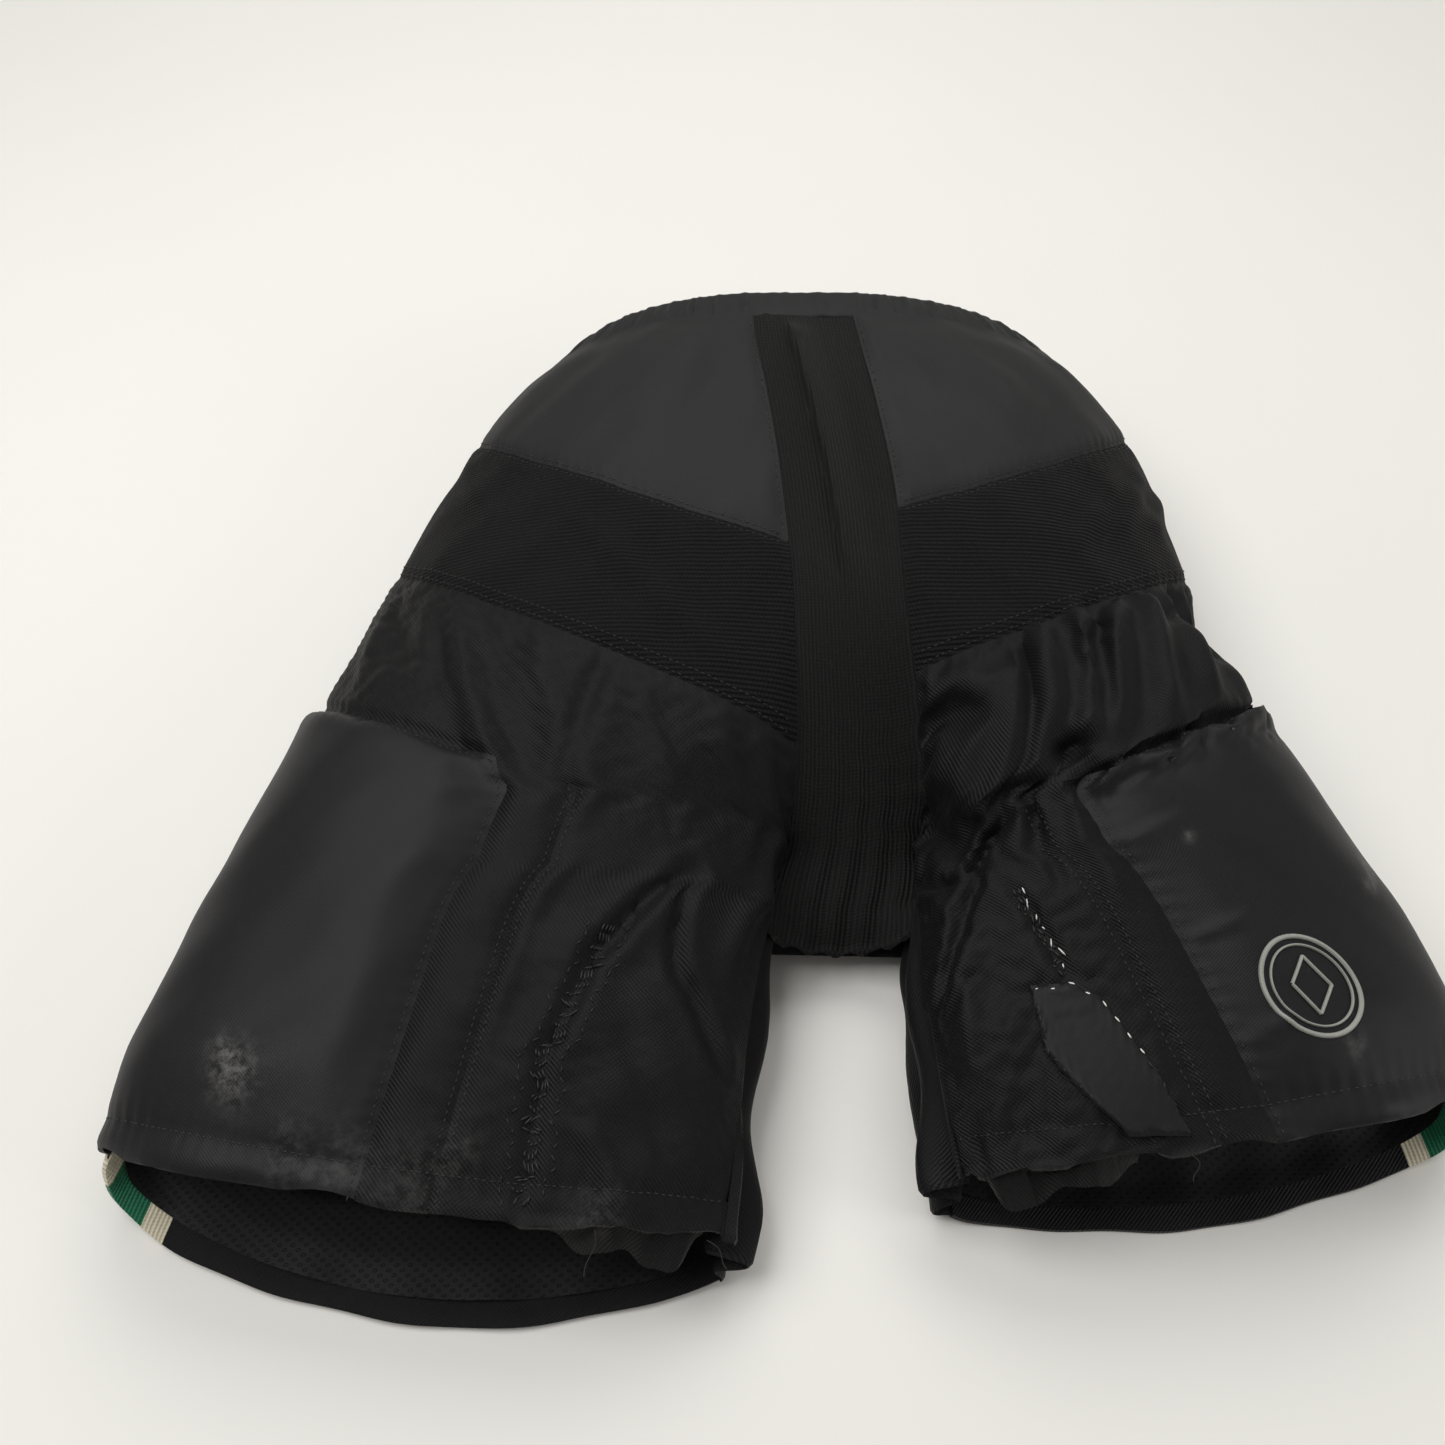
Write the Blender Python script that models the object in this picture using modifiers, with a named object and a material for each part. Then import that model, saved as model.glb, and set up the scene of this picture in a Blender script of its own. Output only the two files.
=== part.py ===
"""Padded ice hockey pants, laid on their front with the back upwards and the legs spread.

The pants are cut from one form: a wide flattened tube at the hips that divides into two legs.
A section of the form at a distance y along the pants is a squared-off oval, one for each side. Its
edge is measured in lines: 0 is the seam at the middle of the back, 12 the side seam and 24 the seam
at the middle of the front. A piece of cloth or foam is a flat grid laid on the form between two
lines and two cuts, sunk by its depth in the layers, and given its thickness by Solidify.

Metres, +Z up from the floor, +Y from the hems to the waist, +X to the wearer's right.
"""

import math

import bmesh
import bpy
from mathutils import Vector

# Driving dimensions.
FABRIC = 0.0016  # a shell panel with its seam allowance
GAP = 0.0005  # between neighbouring pieces
LAYER = 0.0006  # between one layer and the next
PAD_PROUD = 0.005  # how far a padded pocket stands out of the shell
FOAM = 0.0115
CAP = 0.0022
LINER_DEPTH = 0.0185
LINER = 0.0012
WAIST_Y = 0.309
WAISTBAND = 0.030
CROTCH_Y = -0.125
FOLD_Y = 0.088  # the hip section folds about a line across the front here
SEAM_CLEARANCE = 0.0035
BELT_Z = 0.0062
BELT_WIDTH = 0.020
BELT_SHOWN = 0.070  # from the middle of the buckle to where a belt end is modelled to
BUCKLE = (0.0160, 0.0140)  # half its length and half its height
BUCKLE_RIM = 0.0032
SIDE_LINE = 12.0
FRONT_LINE = 24.0
TOP_POWER = 2.4  # squareness of the oval above the side seam
UNDER_POWER = 4.0  # and below it, where the pants lie on the floor
FLATTEN = 0.004  # the oval is pressed this far into the floor, which leaves a flat underside
SECTION_STEPS = 96
COLUMNS_PER_LINE = 2

# Stations along the pants, from the waist to beyond the hems, and what the form measures there.
# "outer", "mid" and "seam" are distances from the middle line, for the left and the right side.
STATIONS = (0.35, 0.28, 0.21, 0.13, 0.04, -0.06, -0.16, -0.34)
MIDDLE = (0.016, 0.020, 0.028, 0.036, 0.040, 0.038, 0.031, 0.029)
CROWN = (0.155, 0.163, 0.165, 0.158, 0.146, 0.130, 0.112, 0.082)
SIDE_HEIGHT = (0.060, 0.056, 0.052, 0.048, 0.046, 0.045, 0.042, 0.034)
FORM = {
    "left": {
        "sign": -1.0,
        "outer": (0.168, 0.222, 0.266, 0.302, 0.333, 0.360, 0.384, 0.432),
        "mid": (0.000, 0.000, 0.010, 0.050, 0.125, 0.194, 0.214, 0.247),
        "seam": (0.035, 0.036, 0.036, 0.036, 0.035, 0.034, 0.050, 0.072),
    },
    "right": {
        "sign": 1.0,
        "outer": (0.186, 0.228, 0.244, 0.246, 0.246, 0.286, 0.334, 0.368),
        "mid": (0.000, 0.000, 0.010, 0.045, 0.095, 0.163, 0.185, 0.211),
        "seam": (0.035, 0.036, 0.036, 0.036, 0.035, 0.044, 0.044, 0.064),
    },
}

# Cuts across the form: the distance y at the middle seam, half way to the side seam, and at it.
CUTS = {
    "left": {
        "waist": (0.309, 0.308, 0.303),
        "yoke": (0.094, 0.168, 0.278),
        "band": (-0.030, 0.046, 0.150),
        "fold": (-0.125, -0.055, 0.035),
        "hem_back": (-0.305, -0.296, -0.255),
        "hem_front": (-0.315, -0.332, -0.258),
    },
    "right": {
        "waist": (0.309, 0.308, 0.303),
        "yoke": (0.120, 0.178, 0.284),
        "band": (0.008, 0.060, 0.146),
        "fold": (-0.120, -0.045, 0.035),
        "hem_back": (-0.274, -0.266, -0.226),
        "hem_front": (-0.280, -0.282, -0.228),
    },
}
# Lines where the channel and the pad pocket begin, at the fold and at the hem.
CHANNEL_LINES = {"left": (4.7, 4.9), "right": (3.3, 5.0)}
POCKET_LINES = {"left": (5.9, 6.1), "right": (4.3, 6.1)}

MATERIALS = {
    "twill": ((0.018, 0.018, 0.019), 0.62),
    "pocket_nylon": ((0.026, 0.026, 0.028), 0.48),
    "yoke_nylon": ((0.030, 0.031, 0.033), 0.55),
    "mesh_knit": ((0.010, 0.010, 0.012), 0.80),
    "rib_knit": ((0.015, 0.015, 0.015), 0.85),
    "liner_mesh": ((0.010, 0.010, 0.011), 0.75),
    "webbing": ((0.010, 0.010, 0.011), 0.60),
    "cream": ((0.62, 0.56, 0.42), 0.75),
    "green": ((0.010, 0.110, 0.060), 0.70),
    "foam": ((0.070, 0.070, 0.075), 0.90),
    "hard_plastic": ((0.030, 0.030, 0.032), 0.35),
    "brass": ((0.32, 0.30, 0.27), 0.30),
    "thread_white": ((0.60, 0.60, 0.57), 0.60),
}


# The scene and its materials.
def clear_scene():
    for old in list(bpy.data.objects):
        bpy.data.objects.remove(old)


def new_collection(name):
    made = bpy.data.collections.new(name)
    bpy.context.scene.collection.children.link(made)
    return made


def material(name):
    """The Principled material of that finish, made once."""
    found = bpy.data.materials.get(name)
    if found:
        return found
    colour, roughness = MATERIALS[name]
    made = bpy.data.materials.new(name)
    made.use_nodes = True
    shader = made.node_tree.nodes["Principled BSDF"]
    shader.inputs["Base Color"].default_value = (*colour, 1.0)
    shader.inputs["Roughness"].default_value = roughness
    shader.inputs["Metallic"].default_value = 1.0 if name == "brass" else 0.0
    return made


# The form.
def smooth(y, values):
    """The value at y of a smooth curve through the stations' values."""
    last = len(STATIONS) - 1
    i = next((k for k in range(last) if y >= STATIONS[k + 1]), last - 1)
    y0, y1 = STATIONS[i], STATIONS[i + 1]
    t = min(max((y - y0) / (y1 - y0), 0.0), 1.0)

    def slope(k):
        low, high = max(k - 1, 0), min(k + 1, last)
        return (values[high] - values[low]) / (STATIONS[high] - STATIONS[low])

    run = y1 - y0
    t2, t3 = t * t, t * t * t
    return (
        values[i] * (2 * t3 - 3 * t2 + 1)
        + slope(i) * run * (t3 - 2 * t2 + t)
        + values[i + 1] * (3 * t2 - 2 * t3)
        + slope(i + 1) * run * (t3 - t2)
    )


def oval(side, y, angle):
    """Distance from the middle line and height of the form: 0 is the inner side, 90 degrees the crown."""
    shape = FORM[side]
    outer, mid = smooth(y, shape["outer"]), smooth(y, shape["mid"])
    side_height = smooth(y, SIDE_HEIGHT)
    up, across = math.sin(angle), math.cos(angle)
    power = TOP_POWER if up >= 0 else UNDER_POWER
    rise = smooth(y, CROWN) - side_height if up >= 0 else side_height + FLATTEN
    distance = mid - math.copysign(abs(across) ** (2 / power), across) * (outer - mid)
    height = side_height + math.copysign(abs(up) ** (2 / power), up) * rise
    return distance, max(height, 0.0)


def seam_angle(side, y, power):
    """The angle at which the oval passes the middle seam."""
    shape = FORM[side]
    mid = smooth(y, shape["mid"])
    reach = (mid - smooth(y, shape["seam"])) / (smooth(y, shape["outer"]) - mid)
    return math.acos(math.copysign(min(abs(reach), 0.999) ** (power / 2), reach))


SECTIONS = {}


def section(side, y):
    """Points along the back and along the front of the form at y, each with its length so far."""
    key = (side, round(y, 6))
    if key in SECTIONS:
        return SECTIONS[key]
    ends = (
        (seam_angle(side, y, TOP_POWER), math.pi),
        (math.pi, 2 * math.pi - seam_angle(side, y, UNDER_POWER)),
    )
    halves = []
    for first, last in ends:
        points = [
            Vector(oval(side, y, first + (last - first) * k / SECTION_STEPS))
            for k in range(SECTION_STEPS + 1)
        ]
        lengths = [0.0]
        for a, b in zip(points, points[1:]):
            lengths.append(lengths[-1] + (b - a).length)
        halves.append((points, lengths))
    SECTIONS[key] = halves
    return halves


def on_half(half, share):
    """The point a share of the way along one half of a section, and its outward normal."""
    points, lengths = half
    wanted = min(max(share, 0.0), 1.0) * lengths[-1]
    k = next((n for n in range(1, len(lengths)) if lengths[n] >= wanted), len(lengths) - 1)
    a, b = points[k - 1], points[k]
    t = (wanted - lengths[k - 1]) / max(lengths[k] - lengths[k - 1], 1e-9)
    around = (points[min(k + 3, len(points) - 1)] - points[max(k - 4, 0)]).normalized()
    return a.lerp(b, t), Vector((-around.y, around.x))


def on_form(side, line, y, depth=0.0):
    """The point of the form on a line at y, sunk by depth."""
    back, front = section(side, y)
    if line <= SIDE_LINE:
        flat, normal = on_half(back, line / SIDE_LINE)
    else:
        flat, normal = on_half(front, (line - SIDE_LINE) / (FRONT_LINE - SIDE_LINE))
    distance, height = flat - normal * depth
    return Vector((smooth(y, MIDDLE) + FORM[side]["sign"] * distance, y, height))


def on_inner_leg(side, share, y, depth=0.0):
    """The point of the leg's inner wall at y: share 0 is the seam of the back, 1 that of the front."""
    top = seam_angle(side, y, TOP_POWER)
    under = seam_angle(side, y, UNDER_POWER)
    angle = top - (top + under) * share

    def at(a):
        return Vector(oval(side, y, a))

    step = 0.04
    around = (at(angle - step) - at(angle + step)).normalized()
    distance, height = at(angle) + Vector((-around.y, around.x)) * depth
    return Vector((smooth(y, MIDDLE) + FORM[side]["sign"] * distance, y, height))


def cut(side, name):
    """The cut's y as a function of the line, the same on the back and on the front."""
    inner, half, outer = CUTS[side][name]

    def at(line):
        share = line / SIDE_LINE if line <= SIDE_LINE else (FRONT_LINE - line) / SIDE_LINE
        bend = half - (inner + outer) / 2
        return inner + (outer - inner) * share + bend * 4 * share * (1 - share)

    return at


def level(y):
    return lambda line: y


def slanted(lines):
    """A border that runs from one line at the fold to another at the hem."""
    first, last = lines
    return lambda down: first + (last - first) * down


# Making pieces.
UP = Vector((0.0, 0.0, 1.0))


def add_object(name, mesh, finish, collection):
    made = bpy.data.objects.new(name, mesh)
    made.data.materials.append(material(finish))
    collection.objects.link(made)
    return made


def laid_grid(name, place, columns, rows, outward, finish, collection, thickness):
    """A flat grid whose points go where place(across, down) says, with its thickness inwards."""
    shape = bmesh.new()
    bmesh.ops.create_grid(shape, x_segments=columns, y_segments=rows, size=0.5)
    for corner in shape.verts:
        corner.co = place(corner.co.x + 0.5, 0.5 - corner.co.y)
    shape.normal_update()
    middle_face = min(shape.faces, key=lambda f: (f.calc_center_median() - place(0.5, 0.5)).length)
    if middle_face.normal.dot(outward) < 0:
        bmesh.ops.reverse_faces(shape, faces=shape.faces[:])
    mesh = bpy.data.meshes.new(name)
    shape.to_mesh(mesh)
    shape.free()
    made = add_object(name, mesh, finish, collection)
    wall = made.modifiers.new("thickness", "SOLIDIFY")
    wall.thickness = thickness
    wall.offset = -1.0
    return made


def panel(name, side, first, last, top, bottom, depth, thickness, finish, collection, rows=4):
    """A piece between two lines and two cuts. A border is a number, or a function of the way down."""
    first_at = first if callable(first) else slanted((first, first))
    last_at = last if callable(last) else slanted((last, last))
    columns = max(1, round(COLUMNS_PER_LINE * (last_at(0.5) - first_at(0.5))))

    def place(across, down):
        start, end = first_at(down), last_at(down)
        trim = GAP / 0.025
        line = start + trim + (end - start - 2 * trim) * across
        high, low = top(line) - GAP, bottom(line) + GAP
        return on_form(side, line, high + (low - high) * down, depth)

    middle = place(0.5, 0.5)
    outward = middle - on_form(side, (first_at(0.5) + last_at(0.5)) / 2, middle.y, 0.02 + depth)
    return laid_grid(name, place, columns, rows, outward, finish, collection, thickness)


def inner_wall(name, side, top_y, depth, thickness, finish, collection):
    """The inner side of a leg, from just under the crotch to the hem."""
    low = cut(side, "hem_back")(0.0)

    def place(across, down):
        y = top_y + (low + GAP - top_y) * down
        return on_inner_leg(side, 0.08 + 0.80 * across, y, depth)

    outward = Vector((-FORM[side]["sign"], 0.0, 0.0))
    return laid_grid(name, place, 5, 3, outward, finish, collection, thickness)


def middle_strip(name, profile, half_width, finish, collection, rows, thickness=FABRIC):
    """A strip along the middle line. profile(down) gives (y, height); half_width(y) its half width."""

    def place(across, down):
        y, height = profile(down)
        return Vector((smooth(y, MIDDLE) + (2 * across - 1) * half_width(y), y, height))

    return laid_grid(name, place, 2, rows, UP, finish, collection, thickness)


# The hip section, which folds at the stretch bands.
def make_waistband(collection):
    """One band of doubled nylon round the waist. Its two ends meet the belt buckle at the fly."""
    last = 22.4
    left = [("left", last * k / 22) for k in range(23)]
    right = [("right", line) for _, line in left]
    outline = left[::-1] + right[1:]

    def place(across, down):
        side, line = outline[round(across * (len(outline) - 1))]
        low = cut(side, "waist")(line)
        return on_form(side, line, low + WAISTBAND - (WAISTBAND - GAP) * down, 0.0005)

    laid_grid("waistband", place, len(outline) - 1, 1, UP, "yoke_nylon", collection, 0.004)


def make_hips(side, collection):
    waist, yoke = cut(side, "waist"), cut(side, "yoke")
    panel(f"yoke_{side}", side, 0, 12, waist, yoke, 0.0, FABRIC, "yoke_nylon", collection)
    panel(f"front_hip_{side}", side, 12, 24, waist, yoke, 0.0, FABRIC, "yoke_nylon", collection)
    foam_depth = FABRIC + 3 * LAYER

    def inset(border, by):
        return lambda line: border(line) + by

    panel(f"kidney_pad_{side}", side, 1, 6.6, inset(waist, -0.010), inset(yoke, 0.012),
          foam_depth, FOAM, "foam", collection, rows=3)
    panel(f"hip_pad_{side}", side, 7, 11.4, inset(waist, -0.010), inset(yoke, 0.008),
          foam_depth, FOAM, "foam", collection, rows=3)


def make_tail_pad(collection):
    """The pad over the tailbone, under the seat strip."""
    middle_strip(
        "tail_pad",
        lambda down: (0.285 - 0.185 * down, smooth(0.285 - 0.185 * down, CROWN) - 0.0085),
        lambda y: 0.026,
        "foam",
        collection,
        rows=4,
        thickness=FOAM,
    )


def make_belt(collection):
    """The two ends of the waist belt come out of the waistband, and the buckle joins them."""
    y = WAIST_Y + WAISTBAND / 2
    x = smooth(y, MIDDLE)
    for side, shape in FORM.items():
        inner, outer = BUCKLE[0] + GAP, BELT_SHOWN
        centre = (x + shape["sign"] * (inner + outer) / 2, y, BELT_Z)
        add_box(f"belt_{side}", centre, (outer - inner, BELT_WIDTH, 0.0016), "webbing", collection)
    make_buckle_frame(x, y, collection)
    tongue_length = 2 * (BUCKLE[0] - BUCKLE_RIM - GAP)
    add_box("buckle_tongue", (x, y, BELT_Z), (tongue_length, 0.0034, 0.0018), "brass", collection)


def add_box(name, centre, size, finish, collection):
    bpy.ops.mesh.primitive_cube_add(size=1.0, location=centre)
    made = bpy.context.object
    made.scale = size
    bpy.ops.object.transform_apply(location=False, rotation=False, scale=True)
    made.name = name
    made.data.materials.append(material(finish))
    move_to(made, collection)


def move_to(made, collection):
    for old in list(made.users_collection):
        old.objects.unlink(made)
    collection.objects.link(made)


def make_buckle_frame(x, y, collection):
    """A flat rectangular ring. The tongue turns on its left side."""
    thick = 0.0024
    shape = bmesh.new()
    bmesh.ops.create_grid(shape, x_segments=1, y_segments=1, size=1.0)
    for corner in shape.verts:
        corner.co = Vector((corner.co.x * BUCKLE[0], corner.co.y * BUCKLE[1], 0.0))
    ring = bmesh.ops.inset_region(
        shape, faces=shape.faces[:], thickness=BUCKLE_RIM, use_boundary=True, use_even_offset=True)
    inside = [f for f in shape.faces if f not in ring["faces"]]
    bmesh.ops.delete(shape, geom=inside, context="FACES")
    bmesh.ops.translate(shape, verts=shape.verts[:], vec=(x, y, BELT_Z + thick / 2))
    mesh = bpy.data.meshes.new("buckle_frame")
    shape.to_mesh(mesh)
    shape.free()
    made = add_object("buckle_frame", mesh, "brass", collection)
    wall = made.modifiers.new("thickness", "SOLIDIFY")
    wall.thickness = thick
    wall.offset = -1.0
    rounding = made.modifiers.new("rounding", "BEVEL")
    rounding.width = 0.0005
    rounding.segments = 1
    rounding.limit_method = "ANGLE"


def make_eyelets(collection):
    """Two rows of lace eyelets beside the fly, set in the front hip panels."""
    for side in FORM:
        for row, y in enumerate((0.270, 0.190)):
            place = on_form(side, 21.6, y, FABRIC + 0.0016)
            bpy.ops.mesh.primitive_torus_add(
                location=place, major_radius=0.0048, minor_radius=0.0012,
                major_segments=10, minor_segments=6)
            made = bpy.context.object
            made.name = f"eyelet_{side}_{row + 1}"
            made.data.materials.append(material("brass"))
            move_to(made, collection)


# The seat, which joins the hip section and the two legs.
def strip_height(y):
    """Height of the seat strip: level with the hips, then down into the crotch."""
    if y > 0.09:
        return smooth(y, CROWN) - 0.0035
    share = min((0.09 - y) / (0.09 - CROTCH_Y), 1.0)
    return (smooth(0.09, CROWN) - 0.0035) * (1 - share**1.6) + 0.022 * share**1.6


def make_seat(collection):
    """The stretch strip down the seat, the gusset at the crotch, and the seam strip down the front."""
    top, low = WAIST_Y - GAP, CROTCH_Y + 0.012

    def between_seams(y):
        return smooth(y, FORM["left"]["seam"]) - SEAM_CLEARANCE

    def along(start, end, height):
        def profile(down):
            y = start + (end - start) * down
            return y, height(y)

        return profile

    middle_strip("seat_strip", along(top, low, strip_height), between_seams, "rib_knit", collection, rows=12)
    def gusset_height(y):
        return 0.030 - 0.020 * ((-0.062 - y) / 0.068) ** 2

    middle_strip("crotch_gusset", along(-0.062, -0.130, gusset_height), lambda y: 0.015,
                 "rib_knit", collection, rows=3, thickness=0.003)
    floor_height = 0.0018
    middle_strip("front_rise", along(FOLD_Y - 0.006, -0.130, lambda y: floor_height), between_seams,
                 "twill", collection, rows=4, thickness=floor_height)
    middle_strip("fly_facing", along(WAIST_Y - 0.003, FOLD_Y + 0.006, lambda y: floor_height), between_seams,
                 "twill", collection, rows=4, thickness=floor_height)


def make_bands(side, collection):
    yoke, band = cut(side, "yoke"), cut(side, "band")
    panel(f"stretch_band_{side}", side, 0, 12, yoke, band, 0.0, FABRIC, "mesh_knit", collection)
    panel(f"front_band_{side}", side, 12, 24, yoke, band, 0.0, FABRIC, "mesh_knit", collection)


# The legs.
def make_leg_shell(side, collection):
    band, fold = cut(side, "band"), cut(side, "fold")
    hem_back, hem_front = cut(side, "hem_back"), cut(side, "hem_front")
    channel, pocket = slanted(CHANNEL_LINES[side]), slanted(POCKET_LINES[side])
    panel(f"thigh_gather_{side}", side, 0, 12, band, fold, 0.0, FABRIC, "twill", collection, rows=3)
    panel(f"back_leg_{side}", side, 0, channel, fold, hem_back, 0.0, FABRIC, "twill", collection)
    panel(f"channel_cover_{side}", side, channel, pocket, fold, hem_back,
          -PAD_PROUD * 0.6, FABRIC, "twill", collection)
    panel(f"pad_pocket_{side}", side, pocket, 12, fold, hem_back,
          -PAD_PROUD, FABRIC, "pocket_nylon", collection)
    panel(f"front_gather_{side}", side, 12, 24, band, fold, 0.0, FABRIC, "twill", collection, rows=3)
    panel(f"stripe_cream_outer_{side}", side, 12, 12.5, fold, hem_front, 0.0, FABRIC, "cream", collection)
    panel(f"stripe_green_{side}", side, 12.5, 13.5, fold, hem_front, 0.0, FABRIC, "green", collection)
    panel(f"stripe_cream_inner_{side}", side, 13.5, 14, fold, hem_front, 0.0, FABRIC, "cream", collection)
    panel(f"front_leg_{side}", side, 14, 24, fold, hem_front, 0.0, FABRIC, "twill", collection)
    inner_wall(f"inner_leg_{side}", side, cut(side, "fold")(0) - 0.008, 0.0, FABRIC, "twill", collection)


def make_leg_padding(side, collection):
    fold, hem_back, hem_front = cut(side, "fold"), cut(side, "hem_back"), cut(side, "hem_front")

    def below(border, by):
        return lambda line: border(line) - by

    pocket = slanted(POCKET_LINES[side])
    under_cover = FABRIC + 4 * LAYER
    panel(f"thigh_pad_{side}", side, lambda d: pocket(d) + 0.35, 10.8, below(fold, 0.010),
          below(hem_back, -0.024), under_cover - PAD_PROUD, FOAM, "foam", collection)
    panel(f"thigh_cap_{side}", side, 15, 22, below(fold, 0.012), below(hem_front, -0.030),
          under_cover, CAP, "hard_plastic", collection)
    panel(f"front_thigh_pad_{side}", side, 15, 22, below(fold, 0.012), below(hem_front, -0.030),
          under_cover + CAP + 2 * LAYER, 0.009, "foam", collection)
    panel(f"liner_back_{side}", side, 1, 11, below(fold, 0.006), below(hem_back, -0.004),
          LINER_DEPTH, LINER, "liner_mesh", collection)
    panel(f"liner_front_{side}", side, 14, 23, below(fold, 0.006), below(hem_front, -0.004),
          LINER_DEPTH, LINER, "liner_mesh", collection)


def make_patch_and_badge(collection):
    """A mending patch and a sewn badge on the right leg, both flat on their panels."""

    def on_back(line_a, line_b, y_top, y_low, proud, thick, name, finish):
        panel(name, "right", slanted(line_a), slanted(line_b), level(y_top), level(y_low),
              proud, thick, finish, collection, rows=3)

    on_back((1.7, 2.1), (3.2, 4.0), -0.186, -0.252, -0.0024, FABRIC, "mending_patch", "twill")
    on_back((6.9, 6.9), (8.4, 8.4), -0.156, -0.214, -PAD_PROUD - 0.0016, 0.0010, "badge", "thread_white")


def build():
    clear_scene()
    pants = new_collection("ice_hockey_pants")
    make_waistband(pants)
    for side in FORM:
        make_hips(side, pants)
        make_bands(side, pants)
        make_leg_shell(side, pants)
        make_leg_padding(side, pants)
    make_tail_pad(pants)
    make_seat(pants)
    make_belt(pants)
    make_eyelets(pants)
    make_patch_and_badge(pants)


build()
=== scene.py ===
# %% [markdown]
# # Padded ice hockey pants, laid on their front
# The pants are sewn cloth over foam: two leg tubes, a hip section with stretch bands, a rib knit strip
# down the seat and a waistband. We load the imported solids first, because every cloth piece below is
# laid where its solid is, and most of them ride on the same body as it when the pants are folded or a leg is swung.

# %% The frame
import math

import bmesh
import bpy
import numpy as np
from mathutils import Matrix, Vector


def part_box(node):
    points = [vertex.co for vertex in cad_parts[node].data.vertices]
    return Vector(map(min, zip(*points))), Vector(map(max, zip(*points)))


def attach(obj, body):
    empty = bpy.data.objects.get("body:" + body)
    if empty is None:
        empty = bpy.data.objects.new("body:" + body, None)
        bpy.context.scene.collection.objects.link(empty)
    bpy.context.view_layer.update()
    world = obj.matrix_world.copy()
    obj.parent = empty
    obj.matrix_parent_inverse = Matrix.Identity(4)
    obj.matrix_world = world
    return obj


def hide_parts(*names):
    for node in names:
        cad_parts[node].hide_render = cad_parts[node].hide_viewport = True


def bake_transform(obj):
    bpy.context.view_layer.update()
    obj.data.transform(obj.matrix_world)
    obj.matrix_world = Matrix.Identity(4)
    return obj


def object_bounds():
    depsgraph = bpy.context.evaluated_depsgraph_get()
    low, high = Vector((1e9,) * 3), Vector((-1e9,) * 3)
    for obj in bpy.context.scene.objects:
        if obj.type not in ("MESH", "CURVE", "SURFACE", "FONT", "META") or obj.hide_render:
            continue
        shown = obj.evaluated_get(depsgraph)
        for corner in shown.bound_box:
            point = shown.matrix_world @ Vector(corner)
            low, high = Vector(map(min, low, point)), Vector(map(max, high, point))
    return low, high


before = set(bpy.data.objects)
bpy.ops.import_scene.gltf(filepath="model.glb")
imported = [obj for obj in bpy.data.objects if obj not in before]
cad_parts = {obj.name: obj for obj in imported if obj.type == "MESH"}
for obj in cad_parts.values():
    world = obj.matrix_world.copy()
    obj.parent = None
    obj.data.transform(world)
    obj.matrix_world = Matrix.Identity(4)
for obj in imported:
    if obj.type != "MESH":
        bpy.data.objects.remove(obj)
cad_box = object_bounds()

# %% [markdown]
# ## The form
# A sewer would call this the block: one smooth body shape that all the panels are cut from. Across the
# pants it is a squared-off oval for each side, measured in lines, from 0 at the seam in the middle of
# the back, over 12 at the side seam, to 24 at the middle of the front. Along the pants it changes
# through a few stations. We tabulate it once, and then any cloth point is a look-up.

# %% Measurements of the form
STATIONS = (0.35, 0.28, 0.21, 0.13, 0.04, -0.06, -0.16, -0.34)
MIDDLE = (0.016, 0.020, 0.028, 0.036, 0.040, 0.038, 0.031, 0.029)
CROWN = (0.155, 0.163, 0.165, 0.158, 0.146, 0.130, 0.112, 0.082)
SIDE_HEIGHT = (0.060, 0.056, 0.052, 0.048, 0.046, 0.045, 0.042, 0.034)
FORM = {
    "left": {
        "sign": -1.0,
        "outer": (0.168, 0.222, 0.266, 0.302, 0.333, 0.360, 0.384, 0.432),
        "mid": (0.000, 0.000, 0.010, 0.050, 0.125, 0.194, 0.214, 0.247),
        "seam": (0.035, 0.036, 0.036, 0.036, 0.035, 0.034, 0.050, 0.072),
    },
    "right": {
        "sign": 1.0,
        "outer": (0.186, 0.228, 0.244, 0.246, 0.246, 0.286, 0.334, 0.368),
        "mid": (0.000, 0.000, 0.010, 0.045, 0.095, 0.163, 0.185, 0.211),
        "seam": (0.035, 0.036, 0.036, 0.036, 0.035, 0.044, 0.044, 0.064),
    },
}
CUTS = {
    "left": {
        "waist": (0.309, 0.308, 0.303),
        "yoke": (0.094, 0.168, 0.278),
        "band": (-0.030, 0.046, 0.150),
        "fold": (-0.125, -0.055, 0.035),
        "hem_back": (-0.305, -0.296, -0.255),
        "hem_front": (-0.315, -0.332, -0.258),
    },
    "right": {
        "waist": (0.309, 0.308, 0.303),
        "yoke": (0.120, 0.178, 0.284),
        "band": (0.008, 0.060, 0.146),
        "fold": (-0.120, -0.045, 0.035),
        "hem_back": (-0.274, -0.266, -0.226),
        "hem_front": (-0.280, -0.282, -0.228),
    },
}
CHANNEL_LINES = {"left": (4.7, 4.9), "right": (3.3, 5.0)}
POCKET_LINES = {"left": (5.9, 6.1), "right": (4.3, 6.1)}
SIDES = ("left", "right")
SIDE_LINE, FRONT_LINE = 12.0, 24.0
TOP_POWER, UNDER_POWER, FLATTEN = 2.4, 4.0, 0.004
CROTCH_Y = -0.125
FOLD_Y = 0.088
LINE_WIDTH = {"left": 0.030, "right": 0.026}  # about how wide one line is on the legs
FABRIC = 0.0013
CELL, FRONT_CELL = 0.0034, 0.0045  # spacing of the grids of the back and of the front
ROLL = 0.0016  # radius at which a hem turns


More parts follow.
